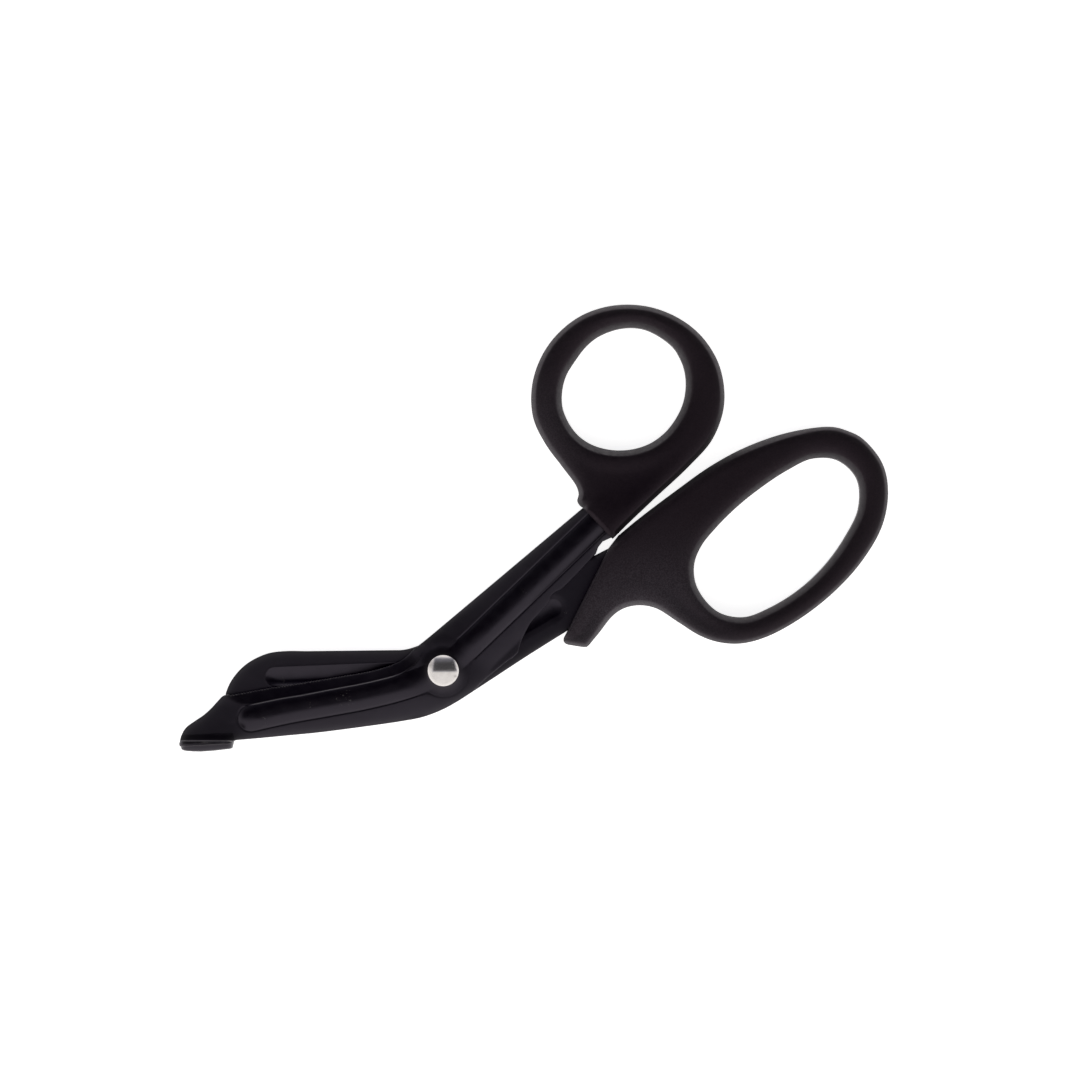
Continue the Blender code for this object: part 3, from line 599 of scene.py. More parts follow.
r_blade, r_tang, r_boss = off(P, blade_rib), off(P, tang_rib), np.linalg.norm(P, axis=1)
settle = 0.58 + 0.42 * ease((r_boss - 5.5) / 9.5)       # the ribs sink into the boss
blade_side, tang_side = side_of(P, blade_rib), side_of(P, tang_rib)
skew = CREST * ease((P[:, 0] + 49.4) / 2.5) * ease((r_boss - 4.0) / 8.0)
blade_at = np.where(r_blade < RIB_HALF, lopsided(r_blade, blade_side, RIB_HALF, skew), r_blade)
tang_at = np.where(r_tang < TANG_HALF, lopsided(r_tang, tang_side, TANG_HALF, CREST * ease((r_boss - 4.0) / 8.0)), r_tang)
raised = soft_max(arch(blade_at, RIB_HALF, RIB_HIGH) * settle, arch(tang_at, TANG_HALF, RIB_HIGH) * settle, 0.10)
boss = 0.50 * (1 - ease((r_boss - 3.2) / (BOSS_R - 3.2)) ** 1.1)
raised = np.maximum(soft_max(raised, boss, 0.30) - 0.075, 0) * ease((BOSS_R + 4.0 - r_boss) / 4.0) + raised * ease((r_boss - BOSS_R) / 4.0)
raised = raised + 0.62 * (1 - ease((r_boss - 2.9) / 1.3))
foot_of = np.minimum(np.minimum(r_blade - RIB_HALF, r_tang - TANG_HALF), r_boss - BOSS_R)
top = FRONT1 + raised
line_d = off(P, rib_line)
line_y = np.interp(P[:, 0], rib_line[:, 0], rib_line[:, 1])
above = P[:, 1] > line_y
d_line = np.where(above, line_d, -line_d)
line_fade = ease((P[:, 0] + 50.2) / 2.0) * (1 - 0.5 * ease((P[:, 0] + 12.0) / 8.0)) * ease((-2.6 - P[:, 0]) / 1.5)
upper_side = line_fade * bump_line(d_line, 0.0, 1.2)
lower_right = ease((P @ -TO_TOP / np.maximum(r_boss, 0.1) + 0.25) / 0.5)
round_boss = 1 - (1 - lower_right) * (r_boss < 8.5)
at_boss = 1 - ease((r_boss - 7.0) / 3.0)
groove = 0.085 - 0.055 * at_boss
top = top - groove * bump_line(foot_of, 0.13 + 0.06 * at_boss, 0.17 + 0.12 * at_boss) * (1 - np.clip(upper_side * 1.6, 0, 1)) * round_boss
step = STEP * ease((P[:, 0] + 50.2) / 2.5) * (1 - 0.55 * ease((P[:, 0] + 12.0) / 7.0)) * ease((-2.6 - P[:, 0]) / 2.0)
top = top + np.where(above, 0.0, step * np.clip(-d_line / 0.22, 0, 1) * (1 - ease((-d_line - 0.3) / 3.0)))
# painted highlight: a thin line of bare metal along the step beside the rib, standing for the light it catches; partly
# edge wear
edge_wear_and_highlight = 0.17 * ease((P[:, 0] + 48.2) / 1.2) * ease((-10.8 - P[:, 0]) / 2.2) * bump_line(d_line, -0.09, 0.085)
edge_wear_and_highlight = edge_wear_and_highlight + 0.030 * ease((P[:, 0] + 11.5) / 1.5) * ease((-3.0 - P[:, 0]) / 2.0) * bump_line(d_line, -0.09, 0.10)
below = (P[:, 1] < line_y - 3) & (r_blade < r_tang) | (r_tang <= r_blade) & (P[:, 1] < P[:, 0] * math.tan(TANG_TURN))
apart = -soft_max(soft_max(RIB_HALF - r_blade, TANG_HALF - r_tang, 2.5), BOSS_R - r_boss, 2.5)
fall = np.clip(apart - 0.2, 0, 4.5)
top = top - (0.078 * fall + 0.013 * fall**2) * below * ease((P[:, 0] + 56.0) / 8.0)
top = top - 0.045 * np.clip(foot_of - 0.2, 0, 5.0) * (r_tang <= r_blade) * (tang_side > 0) * (1 - ease((r_boss - 12.0) / 14.0)) * ease((r_boss - 6.4) / 3.0)
nose = ease((P[:, 0] + 65.5) / 8.0) * (1 - ease((P[:, 0] + 55.5) / 12.0))
top = top - 0.017 * nose * np.clip(P @ TO_TOP + 17.5, 0, 9.0)   # the nose falls a little away from the foot
edge_y = np.interp(P[:, 0], [q[0] for q in LOWER_EDGE], [q[1] for q in LOWER_EDGE]) + 0.02
edge_y = np.where(P[:, 0] > -11.4, 6.25 + (P[:, 0] + 11.4) * 0.16, edge_y)
foot_y = np.where(P[:, 0] < -49.6, 10.75 - (P[:, 0] + 49.6) * 0.45, line_y) + 0.10
fade = ease((P[:, 0] + 54.8) / 10.0) * ease((-4.2 - P[:, 0]) / 4.5)
share = np.clip((P[:, 1] - foot_y) / np.maximum(edge_y - foot_y, 0.3), 0, 1.35)
bevel = FRONT1 + 0.01 - fade * (2.0 - FRONT_LAND) * (share * 0.9 + 0.1 * share**2)
on_bevel = (P[:, 1] > foot_y) & (fade > 0) & (P[:, 1] < edge_y + 1.5) & (r_boss > 5.0)
top = np.where(on_bevel, np.minimum(top, bevel), top)

bottom = np.full(len(P), FRONT0)
clear_of_boss = ease((r_boss - 7.6) / 1.6)
bottom = bottom + arch(np.minimum(r_blade, r_tang), HOLLOW_HALF, HOLLOW_DEEP) * clear_of_boss
thick = np.maximum(top - bottom, 0.05)
turn_in = rounded_edge(D, SHEET_ROUND) * np.clip(thick / 2.0, 0.15, 1)
top, bottom = top - turn_in, bottom + turn_in * 0.8
lip = (P[:, 1] > foot_y + 0.6) & (P[:, 0] < -11.0) & (P[:, 0] > -52.6)
phase = (P[:, 0] + 52.1) / (SERRATION * 0.9795)
tips = ease(1.0 - np.abs((phase % 1) - 0.5) * 4.0)
bare = np.where(lip, np.clip(1.3 - D / 0.16, 0, 1) * tips, 0.0)
scuff = np.zeros(len(P))
for (x, y), r, s in (((-25.0, 3.1), 1.5, 1.0), ((-33.9, 5.0), 0.8, 0.8), ((-27.0, 3.5), 0.7, 0.7), ((-46.0, 5.2), 1.0, 0.45), ((26.0, 11.0), 0.8, 0.4)):
    scuff = np.maximum(scuff, s * np.exp(-(((P[:, 0] - x) ** 2 + (P[:, 1] - y) ** 2) / r**2)))
front_verts, front_faces = solid(P, T, top, bottom, [(0.33, 0.0), (0.66, 0.03)])
rest = len(front_verts) - 2 * len(P)
front_bare = np.r_[bare * 0.26, bare * 0.15, np.zeros(rest)]
front_wear_and_highlight = np.r_[edge_wear_and_highlight, np.zeros(len(P) + rest)]
front_scuff = np.r_[scuff, np.zeros(len(P) + rest)]

# the blunt foot: the nose's edge bent up towards the viewer
FOOT = np.array([-61.95, 5.25])
FOOT_TURN = math.radians(-22.0)
FOOT_TOP = FRONT1 + 5.0
FOOT_L = 6.8


def foot_point(u, v):
    return np.c_[
        FOOT[0] + u * math.cos(FOOT_TURN) - v * math.sin(FOOT_TURN),
        FOOT[1] + u * math.sin(FOOT_TURN) + v * math.cos(FOOT_TURN),
    ]


def arc(cx, cz, r, a0, a1, count):
    a = np.radians(np.linspace(a0, a1, count))
    return [(cx + r * math.cos(t), cz + r * math.sin(t)) for t in a]


H = FOOT_TOP
section = [(2.85, FRONT1 - 0.14), (2.75, FRONT1 - 0.01)]  # (v, z): from the sheet's face up, over the edge and down the outside
section += [(2.5, FRONT1 + 0.01), (2.3, FRONT1 + 0.03), (2.0, FRONT1 + 0.08), (1.7, FRONT1 + 0.155), (1.4, FRONT1 + 0.245), (1.2, FRONT1 + 0.31), (1.05, FRONT1 + 0.36), (0.94, FRONT1 + 0.41), (0.89, FRONT1 + 0.55), (0.88, FRONT1 + 1.0)]
section += [(0.88, H - 1.9), (0.93, H - 0.9), (1.02, H - 0.46), (0.985, H - 0.40), (0.94, H - 0.35), (0.89, H - 0.30), (0.84, H - 0.262), (0.77, H - 0.238)]
section += [(0.70, H - 0.216), (0.50, H - 0.158), (0.30, H - 0.10), (0.12, H - 0.052)]
section += [(0.05, H - 0.085), (0.00, H - 0.115), (-0.06, H - 0.095), (-0.12, H - 0.04), (-0.19, H - 0.012)]
section += [(-0.27, H - 0.035), (-0.36, H - 0.085), (-0.44, H - 0.11), (-0.70, H - 0.165), (-1.00, H - 0.235), (-1.25, H - 0.32), (-1.42, H - 0.44)]
section += [(-1.53, H - 0.76), (-1.60, H - 0.98), (-1.64, H - 1.4), (-1.67, H - 2.2), (-1.69, H - 3.0), (-1.70, FRONT1 + 0.8)]
section += arc(0.62, FRONT0 + 2.35, 2.32, 182, 262, 12)
section += [(0.8, FRONT0 + 0.03), (1.8, FRONT0 + 0.04), (2.85, FRONT0 + 0.14)]
section = np.array(section)
stations = np.r_[-FOOT_L, -FOOT_L + 0.05, -FOOT_L + 0.13, -FOOT_L + 0.25, np.linspace(-FOOT_L + 0.45, FOOT_L - 0.45, 60), FOOT_L - 0.25, FOOT_L - 0.13, FOOT_L - 0.05, FOOT_L]
rows = []
CORNER = 1.6
for u in stations:
    v, z = section[:, 0].copy(), section[:, 1].copy()
    outer = np.interp(u, [-6.8, -6.4, -5.5, -3.8, -1.6, 2.1, 5.9, 6.45, 6.8], [-1.38, -1.54, -1.70, -1.83, -1.87, -1.62, -1.2, -1.12, -1.02])
    wobble = 0.03 * math.sin(u * 1.9) + 0.02 * math.sin(u * 4.3 + 1.0)
    ridge = 0.05 + 0.05 * u + wobble                      # the worn ridge runs slightly askew
    v = np.interp(v, [-1.75, -1.70, -0.36, -0.06, 0.78, 3.0], [outer - 0.05, outer, ridge - 0.17, ridge + 0.13, 0.78, 3.0])
    past = max(0.0, abs(u) - (FOOT_L - CORNER))
    drop = CORNER - math.sqrt(max(CORNER**2 - past**2, 0.0))
    z = z - drop * ease((z - (FRONT1 + 1.0)) / (FOOT_TOP - 0.4 - FRONT1 - 1.0))
    end = max(0.0, (abs(u) - (FOOT_L - 0.25)) / 0.25)
    pull = 0.14 * (1 - math.sqrt(max(0.0, 1 - end**2)))
    cv, cz = 0.2, 8.6
    reach = np.maximum(np.hypot(v - cv, z - cz), 1e-6)
    v, z = v - (v - cv) / reach * pull, z - (z - cz) / reach * pull
    left_end = np.interp(section[:, 0], [-1.7, -1.2, -0.8, -0.62, -0.40, -0.18, 0.2, 1.0, 1.95, 2.9], [-6.05, -6.25, -6.25, -6.0, -6.5, -6.72, -6.76, -6.60, -6.30, -5.85])
    right_end = np.interp(section[:, 0], [-1.7, -0.2, 0.35, 0.8, 1.0, 1.4, 2.2, 2.9], [6.55, 6.7, 6.8, 6.92, 7.0, 7.05, 6.9, 6.6])
    along_u = left_end + (u + FOOT_L) / (2 * FOOT_L) * (right_end - left_end)
    rows.append(np.c_[foot_point(along_u, v), z])
foot_verts = np.vstack(rows)
m = len(section)
walls, caps = [], []
for i in range(len(stations) - 1):
    for j in range(m):
        a, b = i * m + j, i * m + (j + 1) % m
        c, d = (i + 1) * m + j, (i + 1) * m + (j + 1) % m
        walls += [(a, c, d), (a, d, b)]
walls = np.array(walls)
A, B, C = (foot_verts[t] for t in walls[(len(stations) // 2) * 2 * m + 2 * 22])
if np.cross(B - A, C - A)[2] < 0:                        # the walls must face outwards
    walls = walls[:, ::-1]
for i, way in ((0, -1), (len(stations) - 1, 1)):
    for a, b, c in geometry.tessellate_polygon([[Vector((q[0], q[1], 0)) for q in section]]):
        tri = (i * m + a, i * m + b, i * m + c)
        A, B, C = (foot_verts[t] for t in tri)
        out = np.array([math.cos(FOOT_TURN), math.sin(FOOT_TURN), 0.0]) * way
        caps.append(tri if np.cross(B - A, C - A) @ out > 0 else tri[::-1])
foot_faces = np.vstack([walls, np.array(caps)])
local = np.tile(np.arange(m), len(stations))
uu = np.repeat(stations, m)
v_at = section[:, 0][local]
# the foot's top edge, where the wear and the painted highlights below are laid
worn = (section[:, 1][local] > H - 0.47) & (v_at > -0.5) & (v_at < 1.05)
# bare metal on the foot's worn top, laid along the two lines and patches that catch light: partly wear, partly painted
# highlight
foot_wear_and_highlight = worn * (0.10 * np.exp(-(((v_at - 0.92) / 0.10) ** 2)) + 0.10 * np.exp(-(((v_at + 0.3) / 0.10) ** 2)))
foot_wear_and_highlight = foot_wear_and_highlight + worn * np.exp(-(((v_at - 0.5) / 0.3) ** 2)) * (0.12 * np.exp(-(((uu - 0.1) / 1.1) ** 2)) + 0.10 * np.exp(-(((uu - 2.6) / 0.25) ** 2)) + 0.08 * np.exp(-(((uu + 2.7) / 0.3) ** 2)))
foot_scuff = worn * 0.10
length = np.clip((6.6 - np.abs(uu)) / 0.5, 0, 1)
# painted highlights on the foot's top: two thin bright lines, a glint at its right end and a faint lighter patch in the
# middle
foot_highlight = worn * length * ((0.13 + 0.10 * ease((uu - 4.6) / 1.6)) * np.exp(-(((v_at - 0.93) / 0.075) ** 2)) + 0.08 * np.exp(-(((v_at + 0.28) / 0.09) ** 2)))
foot_highlight = foot_highlight + worn * 0.5 * np.exp(-(((v_at - 0.84) / 0.16) ** 2)) * np.exp(-(((uu - 6.1) / 0.45) ** 2))
foot_highlight = foot_highlight + worn * 0.05 * np.exp(-(((v_at - 0.45) / 0.3) ** 2)) * np.exp(-(((uu - 0.4) / 1.3) ** 2))

verts = np.vstack([front_verts, foot_verts])
faces = np.vstack([front_faces, foot_faces + len(front_verts)])
place("lower_blade_look", verts, faces, STEEL, "thumb_lever", "lower_blade",
      {"bare": np.r_[front_bare, foot_wear_and_highlight], "scuff": np.r_[front_scuff, foot_scuff], "edge_wear_and_highlight": np.r_[front_wear_and_highlight, foot_highlight]}, 50)

# ---------------------------------------------------------------- the rear lever
rear_outline = joined(
    smooth(UPPER_TOP, 0.4), smooth(UPPER_HEEL, 0.45), straight(REAR_TANG_IN, 1.2), smooth(REAR_BOTTOM, 0.45),
    straight(UPPER_EDGE, 0.5), smooth(UPPER_TIP, 0.4),
)
rear_distances = (-0.35, -0.2, -0.08, 0.0, 0.07, 0.15, 0.25, 0.4)
features = beside(REAR_RIB, [HOLLOW_HALF + d for d in rear_distances] + [RIB_HALF + d for d in (-0.2, 0, 0.15, 0.3)], start_cap=True)
features += beside(REAR_TANG_RIB, [2.2 + d for d in rear_distances] + [RIB_HALF + d for d in (-0.2, 0, 0.15, 0.3, 0.6)], end_cap=True)
P, T, D = plan([rear_outline, circle(BORE_R, 48)[::-1]], [0.03, 0.09, 0.18, 0.34], 0.46, features)
r_blade, r_tang, r_boss = off(P, REAR_RIB), off(P, REAR_TANG_RIB), np.linalg.norm(P, axis=1)
clear_of_boss = ease((r_boss - 7.4) / 1.6)
hollow_at = lopsided(r_blade, side_of(P, REAR_RIB), HOLLOW_HALF, 0.85 * ease((P[:, 0] + 41.5) / 2.5))
sunk = arch(np.where(r_blade < HOLLOW_HALF, hollow_at, r_blade), HOLLOW_HALF, 0.70)
tang_sunk = arch(r_tang, 2.2, 0.30) + 0.09 * (1 - ease((r_tang - 1.9) / 2.0)) ** 1.2
sunk = np.maximum(sunk, np.where(P[:, 0] > 2, tang_sunk, 0)) * clear_of_boss
top = REAR1 - sunk + 0.028 * bump_line(r_blade, HOLLOW_HALF + 0.12, 0.12) * clear_of_boss
raised = soft_max(arch(r_blade, RIB_HALF, 1.1), arch(r_tang, RIB_HALF, 1.1), 0.10)
boss = 1.15 * (1 - ease((r_boss - 4.7) / (BOSS_R - 4.7)) ** 1.35)
raised = np.maximum(raised, np.where(r_boss < BOSS_R, boss, 0))
foot_of = np.minimum(np.minimum(r_blade, r_tang) - RIB_HALF, r_boss - BOSS_R)
bottom = REAR0 - raised + 0.06 * bump_line(foot_of, 0.13, 0.17)
edge_y = 0.18 - (P[:, 0] + 12.5) * (10.8 - 0.18) / (51.8 - 12.5)
wide = np.interp(P[:, 0], [-53.5, -52.7, -48.0, -40.0, -32.0, -24.0, -16.0, -11.1], [0.6, 1.0, 2.6, 2.6, 2.4, 1.7, 1.3, 0.9])
share = np.clip((edge_y + wide - P[:, 1]) / wide, 0, 1.2)
fade = ease((P[:, 0] + 54.0) / 3.0) * ease((-10.5 - P[:, 0]) / 3.0)
ground = REAR0 - 0.02 + fade * (2.0 - REAR_LAND) * share
bottom = np.where((share > 0) & (fade > 0) & (r_boss > 6.5), np.maximum(bottom, ground), bottom)
thick = np.maximum(top - bottom, 0.05)
turn_in = rounded_edge(D, SHEET_ROUND) * np.clip(thick / 2.0, 0.15, 1)
top, bottom = top - turn_in, bottom + turn_in * 0.8
verts, faces = solid(P, T, top, bottom, [(0.33, 0.0), (0.66, 0.03)])
rest = len(verts) - 2 * len(P)
cutting = ease((share - 0.75) / 0.2) * ease((fade - 0.2) / 0.6)
bare = np.r_[np.zeros(len(P)), cutting * np.clip(1.2 - D / 0.5, 0, 1), np.zeros(rest)]
scuff = np.zeros(len(P))
for (x, y), r, s in (((33.9, 2.3), 0.5, 1.0), ((-38.0, 12.6), 0.8, 0.5)):
    scuff = np.maximum(scuff, s * np.exp(-(((P[:, 0] - x) ** 2 + (P[:, 1] - y) ** 2) / r**2)))
place("upper_blade_look", verts, faces, STEEL, "finger_lever", "upper_blade",
      {"edge_wear_and_highlight": 0.75 * bare, "scuff": np.r_[scuff, np.zeros(len(P) + rest)]}, 50)


# ---------------------------------------------------------------- the rivet and its washer
def turned(profile, count):
    """A closed surface of revolution from (r, z) pairs that start and end on the axis, from the top down."""
    verts, faces = [(0.0, 0.0, profile[0][1])], []
    a = np.linspace(0, 2 * math.pi, count, endpoint=False)
    inner = profile[1:-1]
    for r, z in inner:
        verts += [(r * math.cos(t), r * math.sin(t), z) for t in a]
    verts.append((0.0, 0.0, profile[-1][1]))
    last = len(verts) - 1
    for k in range(count):
        n = (k + 1) % count
        faces.append((0, 1 + k, 1 + n))
        for i in range(len(inner) - 1):
            p, q = 1 + i * count, 1 + (i + 1) * count
            faces += [(p + k, q + k, q + n), (p + k, q + n, p + n)]
        p = 1 + (len(inner) - 1) * count
        faces.append((p + k, last, p + n))
    return np.array(verts), np.array(faces)


HEAD0, HEAD_TOP, HEAD_R = 8.45, 10.05, 3.93
SAG = 1.53
cap_radius = (HEAD_R**2 + SAG**2) / (2 * SAG)
CAP_SINE = HEAD_R / cap_radius
cap_half = math.asin((HEAD_R - 0.09) / cap_radius)
profile = [(0.0, HEAD_TOP)]
profile += [(cap_radius * math.sin(a), HEAD_TOP - cap_radius * (1 - math.cos(a))) for a in np.linspace(0.02, cap_half, 26)]
rim_r, rim_z = profile[-1]
profile += [(rim_r + 0.055, rim_z - 0.05), (rim_r + 0.08, rim_z - 0.10), (rim_r + 0.085, HEAD0 + 0.03), (rim_r + 0.05, HEAD0 + 0.01), (rim_r, HEAD0 - 0.03), (3.4, HEAD0 - 0.04)]
profile += [(2.46, HEAD0 - 0.05), (2.40, HEAD0 - 0.12), (2.40, 0.98), (2.44, 0.94), (3.2, 0.92)]
profile += [(3.34, 0.86), (3.40, 0.72), (3.36, 0.58), (3.2, 0.42), (2.9, 0.27), (2.5, 0.155), (2.0, 0.075), (1.4, 0.03), (0.9, 0.012), (0.8, 0.03), (0.45, 0.05), (0.0, 0.055)]
verts, faces = turned(profile, 96)
verts[:, :2] += TO_TOP * 0.12 * (verts[:, 2:] > HEAD0 - 0.06)   # the head sits a little off its shank
mark = (np.array([0.79, -0.33]) @ np.array([TO_RIGHT, TO_TOP])) * HEAD_R
stain = 0.55 * np.exp(-(((verts[:, 0] - mark[0]) ** 2 + (verts[:, 1] - mark[1]) ** 2) / 0.38**2)) * (verts[:, 2] > 8.6)
place("rivet_look", verts, faces, BRIGHT, "thumb_lever", "pivot_rivet", {"stain": stain}, 60)

loop = [(2.5, 1.52), (2.56, 1.55), (4.3, 1.55), (4.5, 1.50), (4.6, 1.38), (4.6, 1.12), (4.53, 1.03), (4.4, 1.0), (2.56, 1.0), (2.5, 1.04)]
count = 96
a = np.linspace(0, 2 * math.pi, count, endpoint=False)
verts = np.array([(r * math.cos(t), r * math.sin(t), z) for r, z in loop for t in a])
faces = []
for i in range(len(loop)):
    p, q = i * count, ((i + 1) % len(loop)) * count
    for k in range(count):
        n = (k + 1) % count
        faces += [(p + k, q + k, q + n), (p + k, q + n, p + n)]
place("washer_look", verts, np.array(faces), BRIGHT, "thumb_lever", "rivet_washer", crease=60)


# ---------------------------------------------------------------- the handles
RINGS = [0.04, 0.13, 0.28, 0.48, 0.72, 1.0, 1.24, 1.40, 1.52, 1.70, 2.0, 2.4, 2.9]
PARTING = [(0.12, 0.0), (0.47, 0.0), (0.492, 0.045), (0.508, 0.045), (0.53, 0.0), (0.88, 0.0)]


def waves(P, seed):
    """Slight unevenness of a moulded face, mm."""
    x, y = P[:, 0], P[:, 1]
    return 0.012 * np.sin(x * 0.31 + seed) * np.cos(y * 0.27 - seed) + 0.008 * np.sin(x * 0.13 - y * 0.19 + 2 * seed)


def moulded_edge(d, band, shoulder, lean, steep):
    """How far the face falls at its edge: a steep band, a crease, and a gentle shoulder inside it."""
    s = np.clip(1 - d / band, 0, 1)
    q = np.clip(1 - (d - band) / shoulder, 0, 1)
    return band * ((1.25 + 0.65 * steep) * s + (0.55 - 0.40 * steep) * s**2) + lean * shoulder / 2 * q**2


def handle(name, loops, classes, dish, fall, painted_light, deepened_shade, body, node):
    """classes: (line, closed, kind, size above, shoulder, radius below) for the parts of the outline. The two lists
    after dish and fall give painted light and painted shade patches as (middle, radii, amount).
    """
    P, T, D = plan(loops, RINGS, 0.85)
    drop, under = np.zeros(len(P)), np.zeros(len(P))
    for line, closed, kind, r, shoulder, r_under in classes:
        d = off(P, line, closed)
        steep = np.zeros(len(P))
        if kind == "hole":
            to_middle = line.mean(axis=0) - P
            steep = ease((to_middle @ TO_TOP / np.maximum(np.linalg.norm(to_middle, axis=1), 0.1) - 0.45) / 0.45)
        if kind == "ring":
            steep = 0.45 * ease((P @ TO_TOP - 36.0) / 8.0) * (1 - ease((P[:, 0] - 96.0) / 16.0))
            grip = ease((P[:, 0] - 37.0) / 6.0) * (1 - ease((P[:, 0] - 53.0) / 9.0)) * (P[:, 1] < 5.0)
            r = r + 0.5 * ease((P @ TO_TOP - 46.0) / 9.0) * (1 - ease((P[:, 0] - 98.0) / 14.0)) + 0.4 * grip
            shoulder = shoulder + 2.2 * grip
        if kind in ("round", "ring", "hole"):
            part = moulded_edge(d, r, shoulder, 0.25, steep)
        else:
            part = np.where(d < r, (1 - d / r) * 0.62 + 0.12 * np.clip(1 - d / 0.12, 0, 1), 0.0)
        drop = np.maximum(drop, part)
        under = np.maximum(under, rounded_edge(d, r_under))
    at, radius, depth = dish
    hollow = depth * np.exp(-((np.linalg.norm((P - np.array(at)) / np.array(radius), axis=1)) ** 2))
    high, span, lowest, until = fall
    hollow = hollow + lowest * np.clip((high - P @ TO_TOP) / span, 0, 1.2) ** 2 * (1 - ease((P[:, 0] - until) / 12.0))
    # painted light: lighter patches on the face where light falls on it
    painted_light_map = np.zeros(len(P))
    for at, radius, amount in painted_light:
        painted_light_map = np.maximum(painted_light_map, amount * np.exp(-((np.linalg.norm((P - np.array(at)) / np.array(radius), axis=1)) ** 2)))
    # painted shade: a darker patch where the face lies in shade
    painted_shade_map = np.zeros(len(P))
    for at, radius, amount in deepened_shade:
        painted_shade_map = np.maximum(painted_shade_map, amount * np.exp(-((np.linalg.norm((P - np.array(at)) / np.array(radius), axis=1)) ** 2)))
    uneven = waves(P, 1.7) * ease((D - 1.0) / 2.0)
    top = HANDLE_T - 0.03 - drop - (hollow - uneven) * ease(D / 6.5)
    bottom = 0.0 + under
    verts, faces = solid(P, T, top, bottom, PARTING)
    rest = len(verts) - 2 * len(P)
    return place(name, verts, faces, PLASTIC, body, node, {"painted_light": np.r_[painted_light_map, np.zeros(len(P) + rest)], "deepened_shade": np.r_[painted_shade_map, np.zeros(len(P) + rest)]}, 55)


thumb_front = straight(THUMB_FRONT, 0.45)
thumb_ring = smooth(THUMB_RING, 0.5)
thumb_hole = closed_smooth(THUMB_HOLE, 0.5)
thumb_outline = joined(thumb_front, thumb_ring)
# the thumb handle: painted light on the ring's left side, painted shade over its body
handle(
    "thumb_handle_look", [thumb_outline, joined(thumb_hole)[::-1]],
    [(straight(THUMB_FRONT[1:], 0.5), False, "chamfer", 0.95, 0, 0.5), (thumb_ring, False, "round", 1.25, 2.2, 1.5), (thumb_hole, True, "hole", 1.60, 2.4, 1.5)],
    ((60.0, 28.5), (11.0, 8.0), 0.6), (0.0, 1.0, 0.0, 0.0), [((47.5, 46.0), (7.0, 14.0), 0.5)], [((60.5, 25.5), (15.0, 10.5), 1.0)], "thumb_lever", "thumb_handle",
)

finger_front = straight(FINGER_FRONT, 0.45)
finger_heel = smooth(FINGER_HEEL, 0.35)
finger_ring = smooth(FINGER_RING, 0.5)
finger_hole = closed_smooth(FINGER_HOLE, 0.5)
finger_outline = joined(finger_front, finger_heel, finger_ring)
# the finger handle: painted light over its body by the rivet, no painted shade
handle(
    "finger_handle_look", [finger_outline, joined(finger_hole)[::-1]],
    [(finger_front, False, "chamfer", 0.5, 0, 0.4), (np.vstack([finger_heel, finger_ring]), False, "ring", 0.95, 2.0, 1.4), (finger_hole, True, "round", 1.50, 2.3, 1.5)],
    ((50.0, 5.0), (8.0, 6.0), 0.05), (32.0, 22.0, 0.85, 62.0), [((49.0, -5.0), (23.0, 15.0), 1.0)], [], "finger_lever", "finger_handle",
)

# ---------------------------------------------------------------- floor, light and camera
mesh = bpy.data.meshes.new("floor")
S = 4.0
mesh.from_pydata([(-S, -S, 0), (S, -S, 0), (S, S, 0), (-S, S, 0)], [], [(0, 1, 2, 3)])
floor = bpy.data.objects.new("floor", mesh)
bpy.context.scene.collection.objects.link(floor)
mat, net, shader, here = new_material("floor_paper")
paper = net.tint(net.span(net.noise(here, 9.0, 3.0), 0.3, 0.7), (0.80, 0.80, 0.80), (0.82, 0.82, 0.82))
wire(net, shader, Base_Color=paper, Roughness=0.9, Emission_Strength=0.85, Emission_Color=(1.0, 1.0, 1.0, 1.0))
mesh.materials.append(mat)
floor.location.z = -0.00005
floor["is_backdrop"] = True

world = bpy.data.worlds.new("studio")
bpy.context.scene.world = world
world.use_nodes = True
net = Net(world.node_tree)
out = net.add("ShaderNodeOutputWorld")
way = net.add("ShaderNodeTexCoord").outputs["Generated"]


def along(direction):
    return net.add("ShaderNodeVectorMath", {0: way, 1: (*direction, 0.0)}, operation="DOT_PRODUCT").outputs["Value"]


# the tent is white all round but for an opening overhead, drawn where a domed rivet head would show it
up = net.add("ShaderNodeSeparateXYZ", {0: way}).outputs["Z"]
half = net.math("SQRT", net.math("MULTIPLY", net.math("MAXIMUM", net.math("ADD", up, 1.0), 0.02), 2.0))
half = net.math("MULTIPLY", half, CAP_SINE)
Y = net.math("DIVIDE", along(TO_TOP), half)
X = net.math("DIVIDE", along(TO_RIGHT), half)
near = net.span(Y, -0.125, -0.015)
far = net.span(Y, 0.74, 0.90, 1.0, 0.0)
left = net.span(net.math("SUBTRACT", X, net.math("MULTIPLY", Y, 0.14)), -0.76, -0.64)
right = net.span(net.math("ADD", X, net.math("MULTIPLY", Y, 0.22)), 0.80, 0.92, 1.0, 0.0)
gap = net.math("MULTIPLY", net.math("MULTIPLY", near, far), net.math("MULTIPLY", left, right))
inside = net.math("ADD", 0.022, net.span(Y, 0.42, 0.82, 0.0, 0.20))
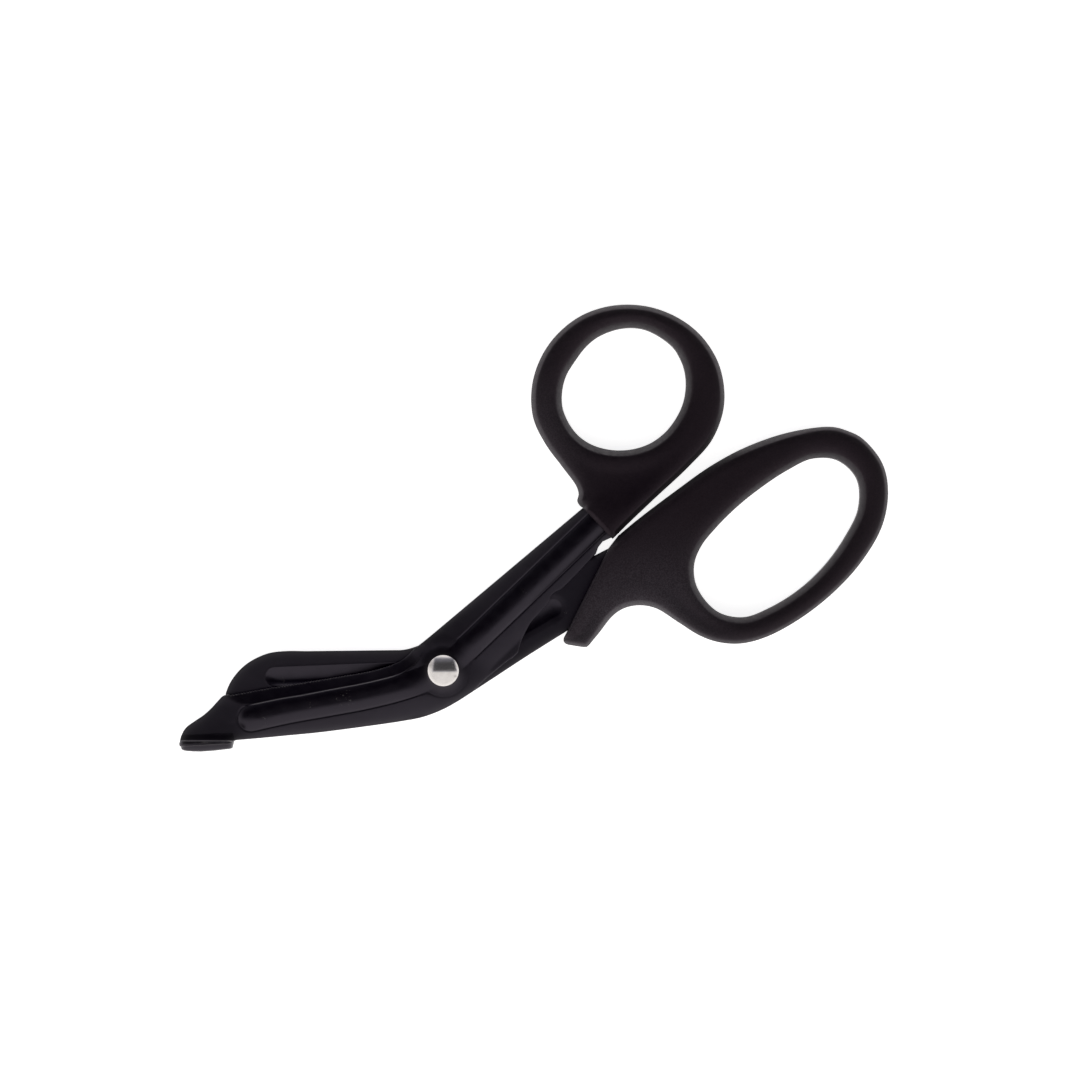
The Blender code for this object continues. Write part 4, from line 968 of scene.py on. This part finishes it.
white = net.math("ADD", 1.10, net.span(up, 0.45, 0.0, 0.0, 0.45))
white = net.math("MULTIPLY", white, net.math("SUBTRACT", 1.0, net.math("MULTIPLY", net.span(X, -0.5, -0.8), net.span(Y, 0.0, 0.35, 0.0, 0.5))))
strength = net.math("ADD", net.math("MULTIPLY", net.math("SUBTRACT", 1.0, gap), white), net.math("MULTIPLY", gap, inside))
colour = net.tint(gap, (1.0, 0.955, 0.93), (0.97, 0.96, 1.12))
background = net.add("ShaderNodeBackground", {"Color": colour, "Strength": strength})
net.tree.links.new(background.outputs[0], out.inputs[0])

camera = bpy.data.cameras.new("camera")
camera.lens = 200.0
camera.sensor_width = 36.0
shot = bpy.data.objects.new("camera", camera)
bpy.context.scene.collection.objects.link(shot)
shot.location = (8.09 * MM, -2.29 * MM, (7.0 + 1507.0) * MM)
shot.rotation_euler = (0.0, 0.0, -TILT)
bpy.context.scene.camera = shot
bpy.context.scene.view_settings.view_transform = "Standard"

# the lens's veiling glare, from the white all round onto the black edges
bpy.context.scene.use_nodes = True
net = Net(bpy.context.scene.node_tree)
picture = net.add("CompositorNodeRLayers").outputs["Image"]
lit = picture
for size, share in ((11, 0.036), (36, 0.004), (84, 0.002)):
    veil = net.add("CompositorNodeBlur", {"Image": picture, "Size": (size, size)}, filter_type="GAUSS").outputs["Image"]
    mix = net.add("CompositorNodeMixRGB", {0: share, 1: lit, 2: veil}, blend_type="ADD")
    lit = mix.outputs["Image"]
deepened_shade = net.add("CompositorNodeMixRGB", {0: 1.0, 1: lit, 2: (0.0022, 0.0024, 0.0020, 0.0)}, blend_type="SUBTRACT")
net.add("CompositorNodeComposite", {"Image": deepened_shade.outputs["Image"]})

box_at_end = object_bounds()


def plain(v):
    if isinstance(v, dict):
        return {k: plain(x) for k, x in v.items()}
    if isinstance(v, (str, bool)) or v is None:
        return v
    if hasattr(v, "__len__"):
        return [plain(x) for x in v]
    return float(v)


{"after_load": plain(box_at_load), "before_finish": plain(box_at_end)}
